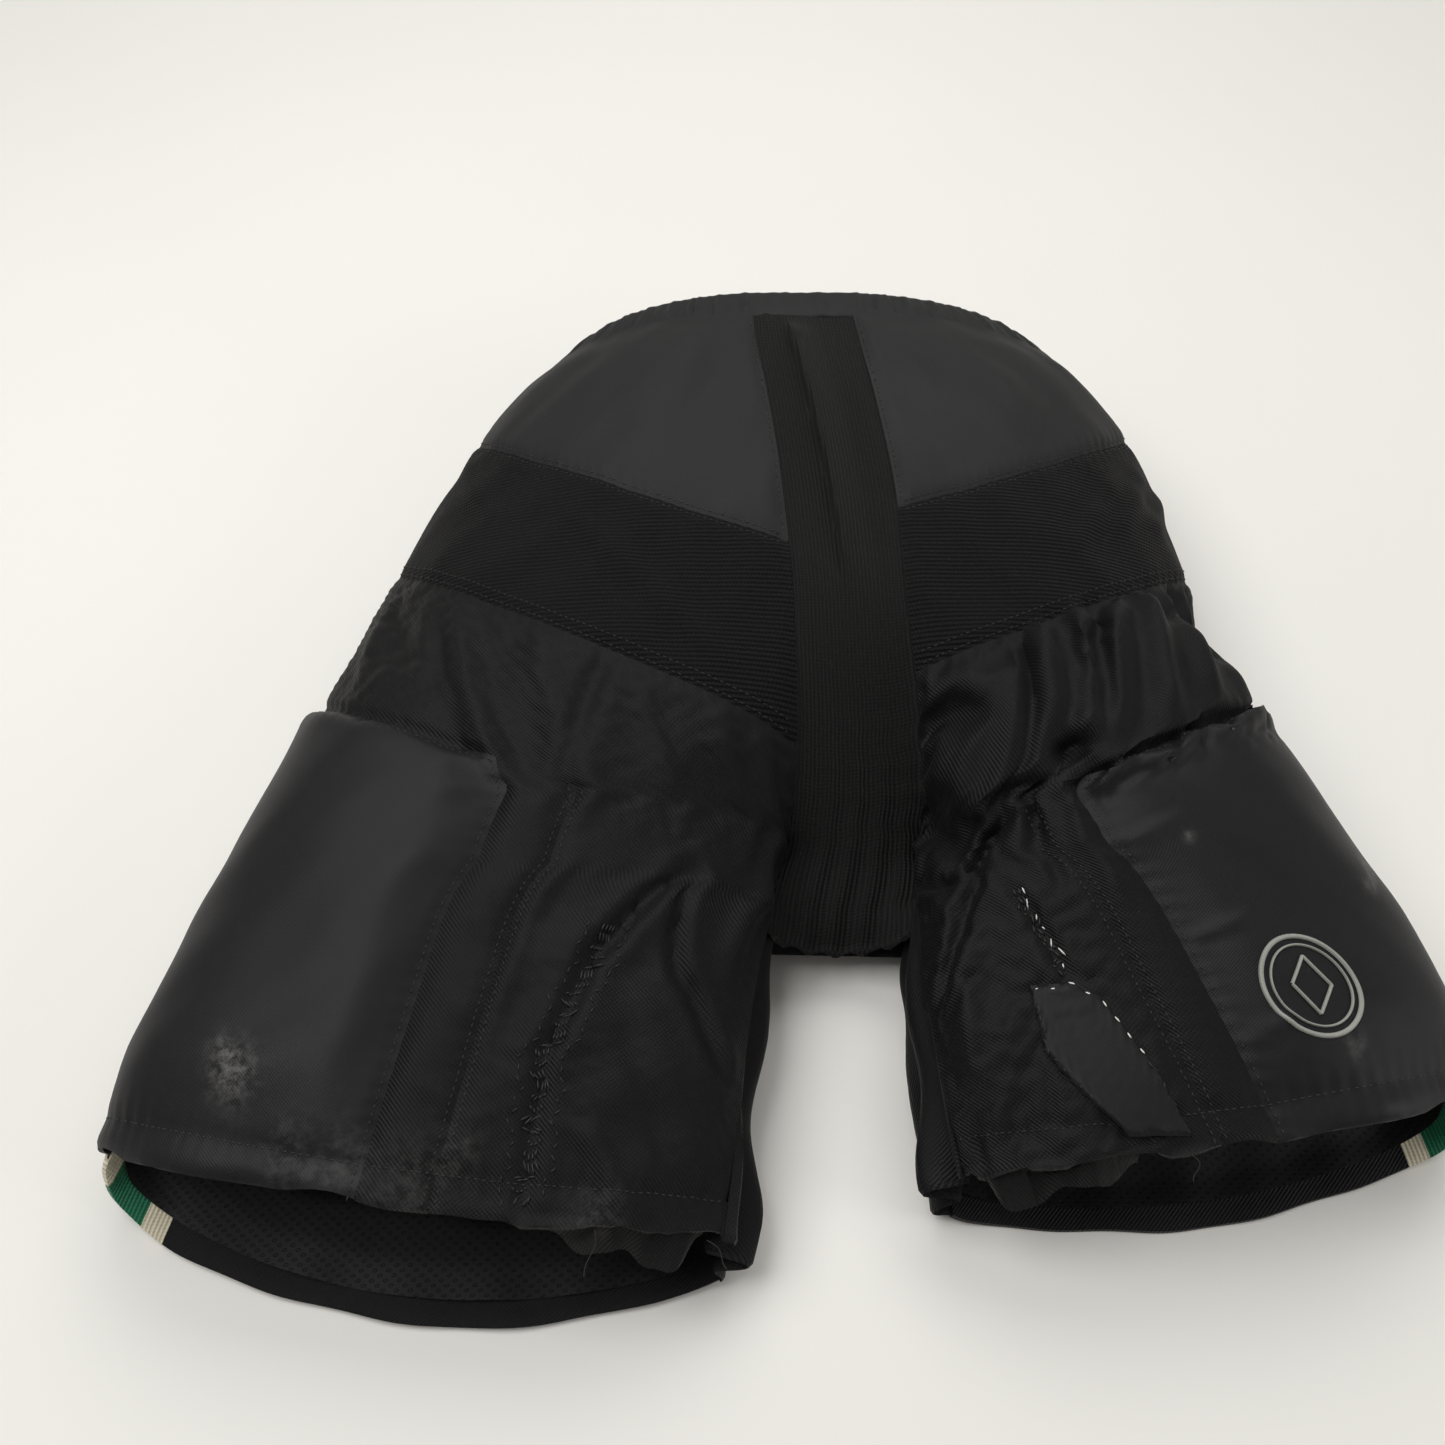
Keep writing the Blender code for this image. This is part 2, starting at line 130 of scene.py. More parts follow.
# %% The form as a table
def smooth(y, values):
    """The value at y of a smooth curve through the stations' values."""
    last = len(STATIONS) - 1
    i = next((k for k in range(last) if y >= STATIONS[k + 1]), last - 1)
    run = STATIONS[i + 1] - STATIONS[i]
    t = min(max((y - STATIONS[i]) / run, 0.0), 1.0)

    def slope(k):
        low, high = max(k - 1, 0), min(k + 1, last)
        return (values[high] - values[low]) / (STATIONS[high] - STATIONS[low])

    t2, t3 = t * t, t * t * t
    ends = values[i] * (2 * t3 - 3 * t2 + 1) + values[i + 1] * (3 * t2 - 2 * t3)
    return ends + run * (slope(i) * (t3 - 2 * t2 + t) + slope(i + 1) * (t3 - t2))


def oval(side, y, angle):
    """Distance from the middle line and height of the form, for an array of angles."""
    outer, mid = smooth(y, FORM[side]["outer"]), smooth(y, FORM[side]["mid"])
    low, rise = smooth(y, SIDE_HEIGHT), smooth(y, CROWN)
    up, across = np.sin(angle), np.cos(angle)
    power = np.where(up >= 0, TOP_POWER, UNDER_POWER)
    reach = np.where(up >= 0, rise - low, low + FLATTEN)
    distance = mid - np.copysign(np.abs(across) ** (2 / power), across) * (outer - mid)
    height = low + np.copysign(np.abs(up) ** (2 / power), up) * reach
    return distance, np.maximum(height, 0.0)


def seam_angle(side, y, power):
    """The angle at which the oval passes the middle seam."""
    mid = smooth(y, FORM[side]["mid"])
    reach = (mid - smooth(y, FORM[side]["seam"])) / (smooth(y, FORM[side]["outer"]) - mid)
    return math.acos(math.copysign(min(abs(reach), 0.999) ** (power / 2), reach))


def evenly(side, y, first, last, count):
    """Points of the oval between two angles, the same length apart."""
    distance, height = oval(side, y, np.linspace(first, last, 400))
    run = np.concatenate([[0.0], np.cumsum(np.hypot(np.diff(distance), np.diff(height)))])
    wanted = np.linspace(0.0, run[-1], count)
    x = smooth(y, MIDDLE) + FORM[side]["sign"] * np.interp(wanted, run, distance)
    return np.stack([x, np.full(count, y), np.interp(wanted, run, height)], axis=1)


TABLE_Y = np.linspace(-0.350, 0.348, 350)
STEPS_PER_LINE, WALL_STEPS = 16, 64


def shell_row(side, y):
    half = int(SIDE_LINE) * STEPS_PER_LINE + 1
    back = evenly(side, y, seam_angle(side, y, TOP_POWER), math.pi, half)
    under = 2 * math.pi - seam_angle(side, y, UNDER_POWER)
    return np.concatenate([back, evenly(side, y, math.pi, under, half)[1:]])


def wall_row(side, y):
    """The inner side of the leg, from the seam of the back to that of the front."""
    top = seam_angle(side, y, TOP_POWER)
    return evenly(side, y, top, -seam_angle(side, y, UNDER_POWER), WALL_STEPS + 1)


SHELL = {side: np.stack([shell_row(side, y) for y in TABLE_Y]) for side in SIDES}
WALL = {side: np.stack([wall_row(side, y) for y in TABLE_Y]) for side in SIDES}
print("form tables:", SHELL["left"].shape, WALL["left"].shape)


# %% Looking points up
def between(table, row, column):
    """Cubic interpolation in a grid of points, at fractional rows and columns."""
    rows, columns = table.shape[:2]
    row = np.clip(row, 0.0, rows - 1.001)
    column = np.clip(column, 0.0, columns - 1.001)
    r, c = row.astype(int), column.astype(int)

    def weights(t):
        t2, t3 = t * t, t * t * t
        return (
            (-t3 + 2 * t2 - t) / 2,
            (3 * t3 - 5 * t2 + 2) / 2,
            (-3 * t3 + 4 * t2 + t) / 2,
            (t3 - t2) / 2,
        )

    found = 0.0
    for i, wr in enumerate(weights(row - r)):
        for k, wc in enumerate(weights(column - c)):
            near = table[np.clip(r + i - 1, 0, rows - 1), np.clip(c + k - 1, 0, columns - 1)]
            found = found + near * (wr * wc)[:, None]
    return found


def unit(vectors):
    return vectors / np.maximum(np.linalg.norm(vectors, axis=-1, keepdims=True), 1e-9)


def table_row(y):
    return (y - TABLE_Y[0]) / (TABLE_Y[1] - TABLE_Y[0])


def on_table(table, column, y, lift, step, facing):
    """Points on a table at columns and y, raised by lift along the outward normal."""
    row = table_row(y)
    at = between(table, row, column)
    along_column = between(table, row, column + step) - between(table, row, column - step)
    along_y = between(table, table_row(y + 0.004), column) - between(table, table_row(y - 0.004), column)
    normal = unit(np.cross(along_column, along_y)) * facing
    return at + normal * np.asarray(lift)[..., None]


def form_point(side, line, y, lift):
    column = np.clip(line, 0.0, FRONT_LINE) * STEPS_PER_LINE
    return on_table(SHELL[side], column, y, lift, 3.0, FORM[side]["sign"])


def wall_point(side, share, y, lift):
    return on_table(WALL[side], np.clip(share, 0.0, 1.0) * WALL_STEPS, y, lift, 2.0,
                    -FORM[side]["sign"])


def cut(side, name):
    """The cut's y as a function of the line, the same on the back and on the front."""
    inner, half, outer = CUTS[side][name]

    def at(line):
        share = np.where(line <= SIDE_LINE, line / SIDE_LINE, (FRONT_LINE - line) / SIDE_LINE)
        bend = half - (inner + outer) / 2
        return inner + (outer - inner) * share + bend * 4 * share * (1 - share)

    return at


def slanted(lines):
    """A border that runs from one line at the fold to another at the hem."""
    return lambda down: lines[0] + (lines[1] - lines[0]) * down


def border(lines):
    """A border given as one line, or already as a function of the way down."""
    return lines if callable(lines) else slanted((lines, lines))


def line_at(side, lines, line_y):
    """The line of a slanted border at y, on the back of the leg."""
    line = np.full_like(line_y, sum(lines) / 2)
    for _ in range(3):
        top, low = cut(side, "fold")(line), cut(side, "hem_back")(line)
        line = slanted(lines)(np.clip((line_y - top) / (low - top), -0.3, 1.1))
    return line

# %% [markdown]
# ## Folds, pads and seams as heights
# Cloth that is gathered into a seam stands up in folds, a padded pocket crowns, and every seam pulls
# its cloth down and puckers it. We write each of these as a height over the form: a fold is a ridge
# between two points with a shallow trough on each side. A cloth simulation then works on the result.

# %% Heights over the form
def ease(t):
    t = np.clip(t, 0.0, 1.0)
    return t * t * (3 - 2 * t)


def ridge(side, line, y, start, end, width, height):
    """A fold from start to end, given as (line, y), with its width and height in millimetres."""
    scale = LINE_WIDTH[side]
    ax, ay, bx, by = start[0] * scale, start[1], end[0] * scale, end[1]
    run_x, run_y = bx - ax, by - ay
    length = math.hypot(run_x, run_y)
    px, py = line * scale - ax, y - ay
    along = (px * run_x + py * run_y) / length
    off = (px * run_y - py * run_x) / length / (width / 1000)
    taper = ease((along / length + 0.10) / 0.30) * ease((1.10 - along / length) / 0.30)
    return height / 1000 * taper * (np.exp(-off * off) - 0.42 * np.exp(-((off / 2.1) ** 2)))


def bump(side, line, y, centre, size, height):
    """A soft swelling or hollow round a centre, given as (line, y), with its sizes in millimetres."""
    across = (line - centre[0]) * LINE_WIDTH[side] / (size[0] / 1000)
    along = (y - centre[1]) / (size[1] / 1000)
    return height / 1000 * np.exp(-across * across - along * along)


def plateau(distance, rise):
    """The edge of a pad: 0 outside, 1 from rise metres inside."""
    t = np.clip(distance / rise, 0.0, 1.0)
    return np.sqrt(1 - (1 - t) ** 2)


# Folds of the left and the right side: start, end, width and height.
FOLDS = {
    "left": (
        ((7.4, 0.055), (5.6, -0.085), 10, 8.5),
        ((9.6, 0.080), (8.0, 0.010), 11, -5.0),
        ((5.5, 0.040), (4.2, -0.090), 11, 3.5),
        ((3.9, 0.020), (5.0, -0.100), 8, -4.0),
        ((8.3, 0.075), (7.6, 0.000), 10, 3.0),
        ((9.7, 0.085), (9.3, 0.010), 9, 3.0),
        ((3.2, -0.010), (2.6, -0.090), 9, 3.0),
        ((1.7, -0.015), (1.2, -0.110), 9, 3.5),
        ((0.8, -0.030), (0.7, -0.175), 9, 7.0),
        ((2.3, -0.108), (3.1, -0.168), 7, -9.0),
        ((3.1, -0.155), (3.6, -0.225), 6, -7.0),
        ((3.6, -0.215), (3.4, -0.300), 5, -4.0),
        ((2.2, -0.112), (1.6, -0.182), 5, -8.0),
        ((1.6, -0.170), (0.4, -0.228), 5, -7.5),
        ((4.4, -0.110), (4.7, -0.230), 7, 3.0),
        ((2.6, -0.190), (1.0, -0.285), 9, -2.5),
        ((2.7, -0.255), (1.6, -0.300), 7, 3.5),
        ((10.6, 0.250), (7.2, 0.130), 10, 3.0),
        ((5.0, 0.120), (1.5, 0.010), 10, 2.5),
        ((5.5, -0.145), (4.9, -0.165), 5, 1.6),
        ((5.6, -0.190), (4.9, -0.205), 5, 1.6),
        ((5.6, -0.235), (4.8, -0.250), 5, 1.8),
    ),
    "right": (
        ((2.9, 0.025), (2.7, -0.090), 5, -8.0),
        ((2.6, -0.085), (1.3, -0.130), 5, -8.0),
        ((1.4, -0.122), (0.3, -0.185), 5, -7.5),
        ((1.4, 0.005), (1.5, -0.085), 8, 3.0),
        ((3.5, 0.035), (3.4, -0.035), 8, 7.0),
        ((4.7, 0.050), (4.0, -0.045), 8, 10.0),
        ((5.9, 0.058), (4.6, -0.045), 9, 9.0),
        ((6.9, 0.068), (6.0, -0.030), 9, 11.0),
        ((7.8, 0.080), (7.4, -0.015), 8, 8.0),
        ((9.0, 0.090), (8.7, -0.005), 8, 8.0),
        ((10.2, 0.100), (9.9, 0.010), 8, 7.0),
        ((3.3, -0.060), (3.3, -0.130), 5, -6.0),
        ((4.1, -0.060), (4.3, -0.140), 6, 6.0),
        ((2.3, -0.125), (2.9, -0.180), 5, -4.0),
        ((1.8, -0.190), (0.8, -0.262), 10, 3.0),
        ((1.0, -0.150), (0.8, -0.235), 10, 6.0),
        ((6.2, -0.095), (5.1, -0.105), 4, 1.8),
        ((6.6, -0.150), (5.4, -0.160), 4, 1.8),
        ((6.9, -0.205), (5.9, -0.215), 4, 1.8),
        ((10.6, 0.200), (8.2, 0.130), 9, 4.0),
        ((9.0, 0.195), (6.6, 0.115), 9, 4.0),
        ((7.2, 0.165), (5.0, 0.095), 9, 3.5),
    ),
}
SWELLS = {
    "left": (
        ((1.7, -0.215), (38, 34), 5.0),
        ((3.9, -0.045), (30, 30), 2.5),
        ((2.2, 0.250), (18, 26), -1.6),
        ((3.6, 0.215), (20, 30), 1.6),
        ((2.0, -0.140), (18, 16), 2.5),
    ),
    "right": (
        ((3.7, -0.056), (16, 14), -6.0),
        ((7.5, 0.020), (60, 22), 3.0),
        ((1.0, -0.195), (30, 34), 4.0),
        ((1.0, -0.060), (26, 40), 2.0),
        ((2.4, 0.235), (22, 28), -1.4),
        ((4.4, 0.215), (22, 28), 1.8),
    ),
}


def pad_height(side, line, y):
    """The pad in its pocket: crisp at the side seam and the top, soft towards the channel and hem."""
    top, low = cut(side, "fold")(line), cut(side, "hem_back")(line) + 0.012
    first = line_at(side, POCKET_LINES[side], y)
    scale = LINE_WIDTH[side]
    outer = plateau((SIDE_LINE - 0.10 - line) * scale, 0.014)
    inner = ease((line - first + 0.15) * scale / 0.040)
    upper = plateau(top - 0.003 - y, 0.015)
    lower = ease((y - low) / 0.050)
    crown = 0.0085 * outer * inner * upper * (0.35 + 0.65 * lower)
    channel = line_at(side, CHANNEL_LINES[side], y)
    share = np.clip((line - channel) / np.maximum(first - channel, 0.2), 0.0, 1.0)
    tube = 0.0024 * np.sin(share * math.pi) ** 0.6
    return crown + tube * ease((top - y) / 0.02) * ease((y - low) / 0.02)


def lumps(side, line, y):
    """The slow unevenness of padding that has been worn for years, two to three millimetres."""
    u, phase = line * LINE_WIDTH[side], (0.0 if side == "left" else 2.4)
    a = np.sin(u / 0.017 + 1.3 * np.sin(y / 0.041 + phase) + phase)
    b = np.sin(y / 0.019 + 1.6 * np.sin(u / 0.027 + 2 * phase) + 1.0)
    c = np.sin((u + y) / 0.0105 + 1.2 * np.sin((u - y) / 0.030 + phase))
    return 0.0010 * a + 0.0010 * b + 0.0006 * c


def relief(side, line, y):
    """Height of the back of the pants over the form, without the fine pull of the seams."""
    leg = ease((cut(side, "band")(line) - y) / 0.05)
    off_pad = 1.0 - 0.75 * ease((line - line_at(side, CHANNEL_LINES[side], y)) / 0.8)
    height = pad_height(side, line, y) + lumps(side, line, y) * (0.55 + (0.55 * off_pad - 0.20) * leg)
    for fold in FOLDS[side]:
        height = height + ridge(side, line, y, *fold)
    for swell in SWELLS[side]:
        height = height + bump(side, line, y, *swell)
    yoke = cut(side, "yoke")(line)
    height = height + 0.0020 * plateau(y - yoke, 0.030) * ease((0.31 - y) / 0.03)
    middle_seam, side_seam = ease(line / 0.5), ease((SIDE_LINE - line) / 0.5)
    ends = ease((0.309 - y) / 0.012) * ease((y - cut(side, "hem_back")(line)) / 0.006 + 0.3)
    return height * middle_seam * side_seam * ends


# %% [markdown]
# ## The back of each side as one draped cloth
# Real folds come from spare cloth that has to buckle between its seams, so the back of each side is
# laid out as one grid with the folds started on it, given spare cloth where the panels are gathered,
# held at its seams and over its pads, and simulated for a few frames. All the panels of the back are
# then cut from the result.

# %% The grid and its simulation
COLUMNS = 76
ZONES = (("waist", "yoke", 26), ("yoke", "band", 20), ("band", "fold", 18), ("fold", "hem_back", 40))
ROWS = sum(zone[2] for zone in ZONES) + 1
SIM_FRAMES = 18
SIM_CAP = 0.010
SPARE_CLOTH = 0.13


def skin_y(side, line, row):
    """y on the back of a side at a row of the skin grid."""
    y, start = cut(side, "waist")(line), 0
    for top, low, count in ZONES:
        share = np.clip((row - start) / count, 0.0, 1.0)
        y = y + (cut(side, low)(line) - cut(side, top)(line)) * share
        start += count
    return y


def skin_row(side, line, y):
    row = np.zeros_like(y)
    for top, low, count in ZONES:
        high, bottom = cut(side, top)(line), cut(side, low)(line)
        row = row + count * np.clip((high - y) / (high - bottom), 0.0, 1.0)
    return row


def spare_cloth(side, line, y):
    """Where the panels have more cloth than the form: 1 in the gathers, less on the legs."""
    band, fold = cut(side, "band")(line), cut(side, "fold")(line)
    gather = ease((band + 0.004 - y) / 0.02) * ease((y - fold + 0.03) / 0.03)
    first = line_at(side, CHANNEL_LINES[side], y)
    leg = ease((fold - y) / 0.03) * ease((first - line) / 0.6)
    return np.clip(gather * (1.0 if side == "right" else 0.15) + (0.35 if side == "right" else 0.12) * leg, 0.0, 1.0)


def held_cloth(side, line, y):
    """How firmly the cloth is held: fully at its seams, and well over pads and yokes."""
    scale = LINE_WIDTH[side]
    spare = spare_cloth(side, line, y)
    hold = 0.75 - 0.66 * spare
    for name in ("waist", "yoke", "band", "hem_back"):
        hold = np.maximum(hold, 1.0 - np.abs(y - cut(side, name)(line)) / 0.008)
    if side == "right":
        under_patch = bump(side, line, y, (3.2, -0.222), (34, 44), 1000.0)
        hold = np.maximum(hold, under_patch)
    for edge in (0.0, SIDE_LINE):
        hold = np.maximum(hold, 1.0 - np.abs(line - edge) * scale / 0.009)
    return np.clip(hold, 0.0, 1.0)


def mesh_of(shape, name):
    """The bmesh as a mesh of that name. It frees the bmesh."""
    mesh = bpy.data.meshes.new(name)
    shape.to_mesh(mesh)
    shape.free()
    return mesh


def drape(side, start, line, y):
    """Simulates the skin of one side as cloth and gives its points, moved by SIM_CAP at most."""
    shape = bmesh.new()
    bmesh.ops.create_grid(shape, x_segments=COLUMNS - 1, y_segments=ROWS - 1, size=0.5)
    index = []
    for corner in shape.verts:
        i, k = round((corner.co.x + 0.5) * (COLUMNS - 1)), round((0.5 - corner.co.y) * (ROWS - 1))
        index.append((k, i))
        corner.co = start[k, i]
    skin = bpy.data.objects.new("skin", mesh_of(shape, "skin"))
    bpy.context.scene.collection.objects.link(skin)
    groups = {"hold": held_cloth(side, line, y), "fitted": 1.0 - spare_cloth(side, line, y)}
    for name, weights in groups.items():
        group = skin.vertex_groups.new(name=name)
        for number, (k, i) in enumerate(index):
            group.add([number], float(weights[k, i]), "REPLACE")
    cloth = skin.modifiers.new("cloth", "CLOTH")
    settings = cloth.settings
    settings.quality = 6
    settings.mass = 0.25
    settings.tension_stiffness = 20
    settings.compression_stiffness = 20
    settings.shear_stiffness = 8
    settings.bending_stiffness = 20.0
    settings.air_damping = 2.0
    settings.vertex_group_mass = "hold"
    settings.pin_stiffness = 1.2
    settings.vertex_group_shrink = "fitted"
    settings.shrink_min = -SPARE_CLOTH
    settings.shrink_max = 0.0
    settings.effector_weights.gravity = 0.0
    cloth.collision_settings.use_collision = False
    scene = bpy.context.scene
    cloth.point_cache.frame_start, cloth.point_cache.frame_end = 1, SIM_FRAMES
    for frame_number in range(1, SIM_FRAMES + 1):
        scene.frame_set(frame_number)
    graph = bpy.context.evaluated_depsgraph_get()
    moved = skin.evaluated_get(graph).to_mesh()
    flat = np.empty(len(moved.vertices) * 3)
    moved.vertices.foreach_get("co", flat)
    scene.frame_set(1)
    bpy.data.objects.remove(skin)
    found = np.empty_like(start)
    rows, columns = np.array(index).T
    found[rows, columns] = flat.reshape(-1, 3)
    move = found - start
    size = np.linalg.norm(move, axis=-1, keepdims=True)
    print(f"cloth {side}: moved {size.mean() * 1000:.1f} mm on average, {size.max() * 1000:.1f} at most")
    return start + move * np.minimum(1.0, SIM_CAP / np.maximum(size, 1e-9))


def make_skin(side):
    row, column = np.meshgrid(np.arange(ROWS), np.arange(COLUMNS), indexing="ij")
    line = column / (COLUMNS - 1) * SIDE_LINE
    y = skin_y(side, line, row.astype(float))
    flat_line, flat_y = line.ravel(), y.ravel()
    points = form_point(side, flat_line, flat_y, relief(side, flat_line, flat_y))
    points = points.reshape(ROWS, COLUMNS, 3)
    points = drape(side, points, line, y)
    points[..., 2] = np.maximum(points[..., 2], 0.002)
    return points


SKIN = {side: make_skin(side) for side in SIDES}


def skin_point(side, line, y, lift):
    """A point of the draped back, raised by lift along its outward normal."""
    row, column = skin_row(side, line, y), line / SIDE_LINE * (COLUMNS - 1)
    table = SKIN[side]
    at = between(table, row, column)
    along_column = between(table, row, column + 0.8) - between(table, row, column - 0.8)
    along_row = between(table, row - 0.8, column) - between(table, row + 0.8, column)
    normal = unit(np.cross(along_column, along_row)) * FORM[side]["sign"]
    return at + normal * np.asarray(lift)[..., None]


# %% [markdown]
# ## The fine pull of the seams
# A line of stitches presses the cloth down by about a millimetre and puckers it every 8 to 10 mm.
# This is too fine for the simulation grid, so it is added to each panel when the panel is made.

# %% Seam pull
def seam_pull(distance, along, depth=0.0013, reach=0.0045, pitch=0.009):
    """Height change near a seam at a distance, with puckers along it."""
    dip = -depth * np.exp(-((distance / reach) ** 2))
    wander = np.sin(along / 0.053) * 1.7 + np.sin(along / 0.021 + 1.0) * 0.8
    pucker = 0.00045 * np.sin(along * 2 * math.pi / pitch + wander)
    return dip + pucker * np.exp(-((distance / 0.011) ** 2))


def creases(line, y, scale, seed):
    """Small uneven creases of worn cloth, up to about half a millimetre."""
    a = np.sin(line * scale / 0.0093 + 2.1 * np.sin(y / 0.031 + seed) + seed)
    b = np.sin(y / 0.0127 + 1.7 * np.sin(line * scale / 0.024 + 2 * seed))
    c = np.sin((line * scale + 0.7 * y) / 0.0061 + 1.3 * np.sin(y / 0.017 - seed))
    return 0.00016 * a + 0.00016 * b + 0.00010 * c


def hem_wave(side, line):
    """How the hem wanders up and down, as it does once the cloth has stretched."""
    phase = 0.6 if side == "left" else 2.2
    wave_height = 0.0028 * np.sin(line * 1.15 + phase) + 0.0016 * np.sin(line * 2.9 + 2 * phase)
    return wave_height * np.where(line > SIDE_LINE, 0.35, 1.0)


def fine(side, line, y):
    """Seam pull and creases on any part of the shell, back or front."""
    scale = LINE_WIDTH[side]
    height = creases(line, y, scale, 1.0 if side == "left" else 4.0)
    back = line <= SIDE_LINE
    for name in ("yoke", "band"):
        slope = (cut(side, name)(line + 0.01) - cut(side, name)(line - 0.01)) / (0.02 * scale)
        height = height + seam_pull((y - cut(side, name)(line)) / np.hypot(1, slope), line * scale)
    hem = np.where(back, cut(side, "hem_back")(line), cut(side, "hem_front")(line))
    height = height + seam_pull(y - hem - 0.019, line * scale, depth=0.0009)
    fold = cut(side, "fold")(line)
    lower = ease((fold + 0.004 - y) / 0.008)
    for lines in (CHANNEL_LINES[side], POCKET_LINES[side]):
        off = (line - line_at(side, lines, y)) * scale
        height = height + np.where(back, lower * seam_pull(off, y, depth=0.0016), 0.0)
    pocket_top = ease((line - line_at(side, POCKET_LINES[side], y)) / 0.2)
    height = height + np.where(back, pocket_top * seam_pull(y - fold, line * scale, depth=0.002), 0.0)
    droop = 0.5 + 0.5 * np.sin(line * 1.9 + (0.0 if side == "left" else 1.5))
    height = height - np.where(back, 0.0045 * droop * np.exp(-(((y - hem) / 0.022) ** 2)), 0.0)
    if side == "right":
        pulled = bump(side, line, y, (3.75, -0.052), (8, 8), -9.5)
        around = bump(side, line, y, (4.1, -0.036), (9, 7), 2.5)
        height = height + np.where(back, pulled + around, 0.0)
    side_seam = (line - SIDE_LINE) * scale
    middle_seam = line * scale
    above_crotch = ease((y - CROTCH_Y) / 0.02)
    height = height + seam_pull(side_seam, y, depth=0.001)
    height = height + above_crotch * seam_pull(middle_seam, y, depth=0.001)
    return height

# %% [markdown]
# ## Finishes
# Every cloth here is woven or knitted nylon or polyester, dyed black. What tells them apart is the
# weave and how it shines: the shell is a twill with fine diagonal lines, the pockets and yokes are a
# closer and smoother weave, the bands are an open warp knit in rows, and the seat strip is a rib knit.
# The weaves are drawn in millimetres on each panel's own UV map, so that they run with the cloth.

# %% Helpers for materials
MATH, NOISE = "ShaderNodeMath", "ShaderNodeTexNoise"
TIMES = {"operation": "MULTIPLY"}


def linear(hex_colour):
    """An sRGB hex colour as linear RGBA."""
    parts = [int(hex_colour[k : k + 2], 16) / 255 for k in (1, 3, 5)]
    return (*(((c + 0.055) / 1.055) ** 2.4 if c > 0.04045 else c / 12.92 for c in parts), 1.0)


def add(tree, kind, settings=None, links=None):
    """A node of that kind, with its settings or socket values, and its links by socket."""
    node = tree.nodes.new(kind)
    for name, value in (settings or {}).items():
        if isinstance(name, int) or name in node.inputs:
            node.inputs[name].default_value = value
        else:
            setattr(node, name, value)
    for socket, source in (links or {}).items():
        tree.links.new(source, node.inputs[socket])
    return node


def new_material(name):
    """A material with its node tree and its shader."""
    made = bpy.data.materials.new(name)
    made.use_nodes = True
    return made, made.node_tree, made.node_tree.nodes["Principled BSDF"]


def wave(tree, place, across, along):
    """A sine of the place in millimetres, with a pitch across and along the cloth, or 0 for none."""
    turn = 2 * math.pi
    steps = (turn / across if across else 0.0, turn / along if along else 0.0, 0.0)
    phase = add(tree, "ShaderNodeVectorMath", {"operation": "DOT_PRODUCT", 1: steps}, {0: place})
    return add(tree, MATH, {"operation": "SINE"}, {0: phase.outputs["Value"]}).outputs[0]


def twill_weave(tree, mm):
    """Diagonal ribs 1.6 mm apart, twice the real pitch so that they show, with a weak cross line."""
    ribs, cross = wave(tree, mm, 2.3, 2.3), wave(tree, mm, -2.6, 2.6)
    return add(tree, MATH, {"operation": "MULTIPLY_ADD", 1: 0.30}, {0: cross, 2: ribs}).outputs[0]


def plain_weave(tree, mm):
    """A close weave: threads 1.7 mm apart both ways, drawn coarser than the real 0.4 mm to show."""
    return add(tree, MATH, TIMES, {0: wave(tree, mm, 1.7, 0), 1: wave(tree, mm, 0, 1.7)}).outputs[0]


def mesh_rows(tree, mm):
    """Rows of a warp knit 3 mm apart, with pinholes between the wales."""
    rows = wave(tree, mm, 0, 3.0)
    holes = add(tree, MATH, TIMES, {0: wave(tree, mm, 2.4, 0), 1: wave(tree, mm, 0, 6.0)}).outputs[0]
    return add(tree, MATH, {"operation": "MULTIPLY_ADD", 1: 0.55}, {0: holes, 2: rows}).outputs[0]


def rib_rows(tree, mm):
    """Wales of a rib knit 2.4 mm apart, with courses 1.9 mm apart."""
    wales, courses = wave(tree, mm, 2.4, 0), wave(tree, mm, 0, 1.9)
    return add(tree, MATH, {"operation": "MULTIPLY_ADD", 1: 0.22}, {0: courses, 2: wales}).outputs[0]


def oval_holes(tree, mm):
    """Staggered holes of an athletic mesh, 4 to 5 mm apart."""
    return add(tree, MATH, TIMES, {0: wave(tree, mm, 7.2, 0), 1: wave(tree, mm, 0, 5.2)}).outputs[0]


def web_ribs(tree, mm):
    """Ribs of a woven belt 1.3 mm apart, crossed by a weak diagonal."""
    cross, ribs = wave(tree, mm, 2.0, 2.0), wave(tree, mm, 1.3, 0)
    return add(tree, MATH, {"operation": "MULTIPLY_ADD", 1: 0.4}, {0: cross, 2: ribs}).outputs[0]

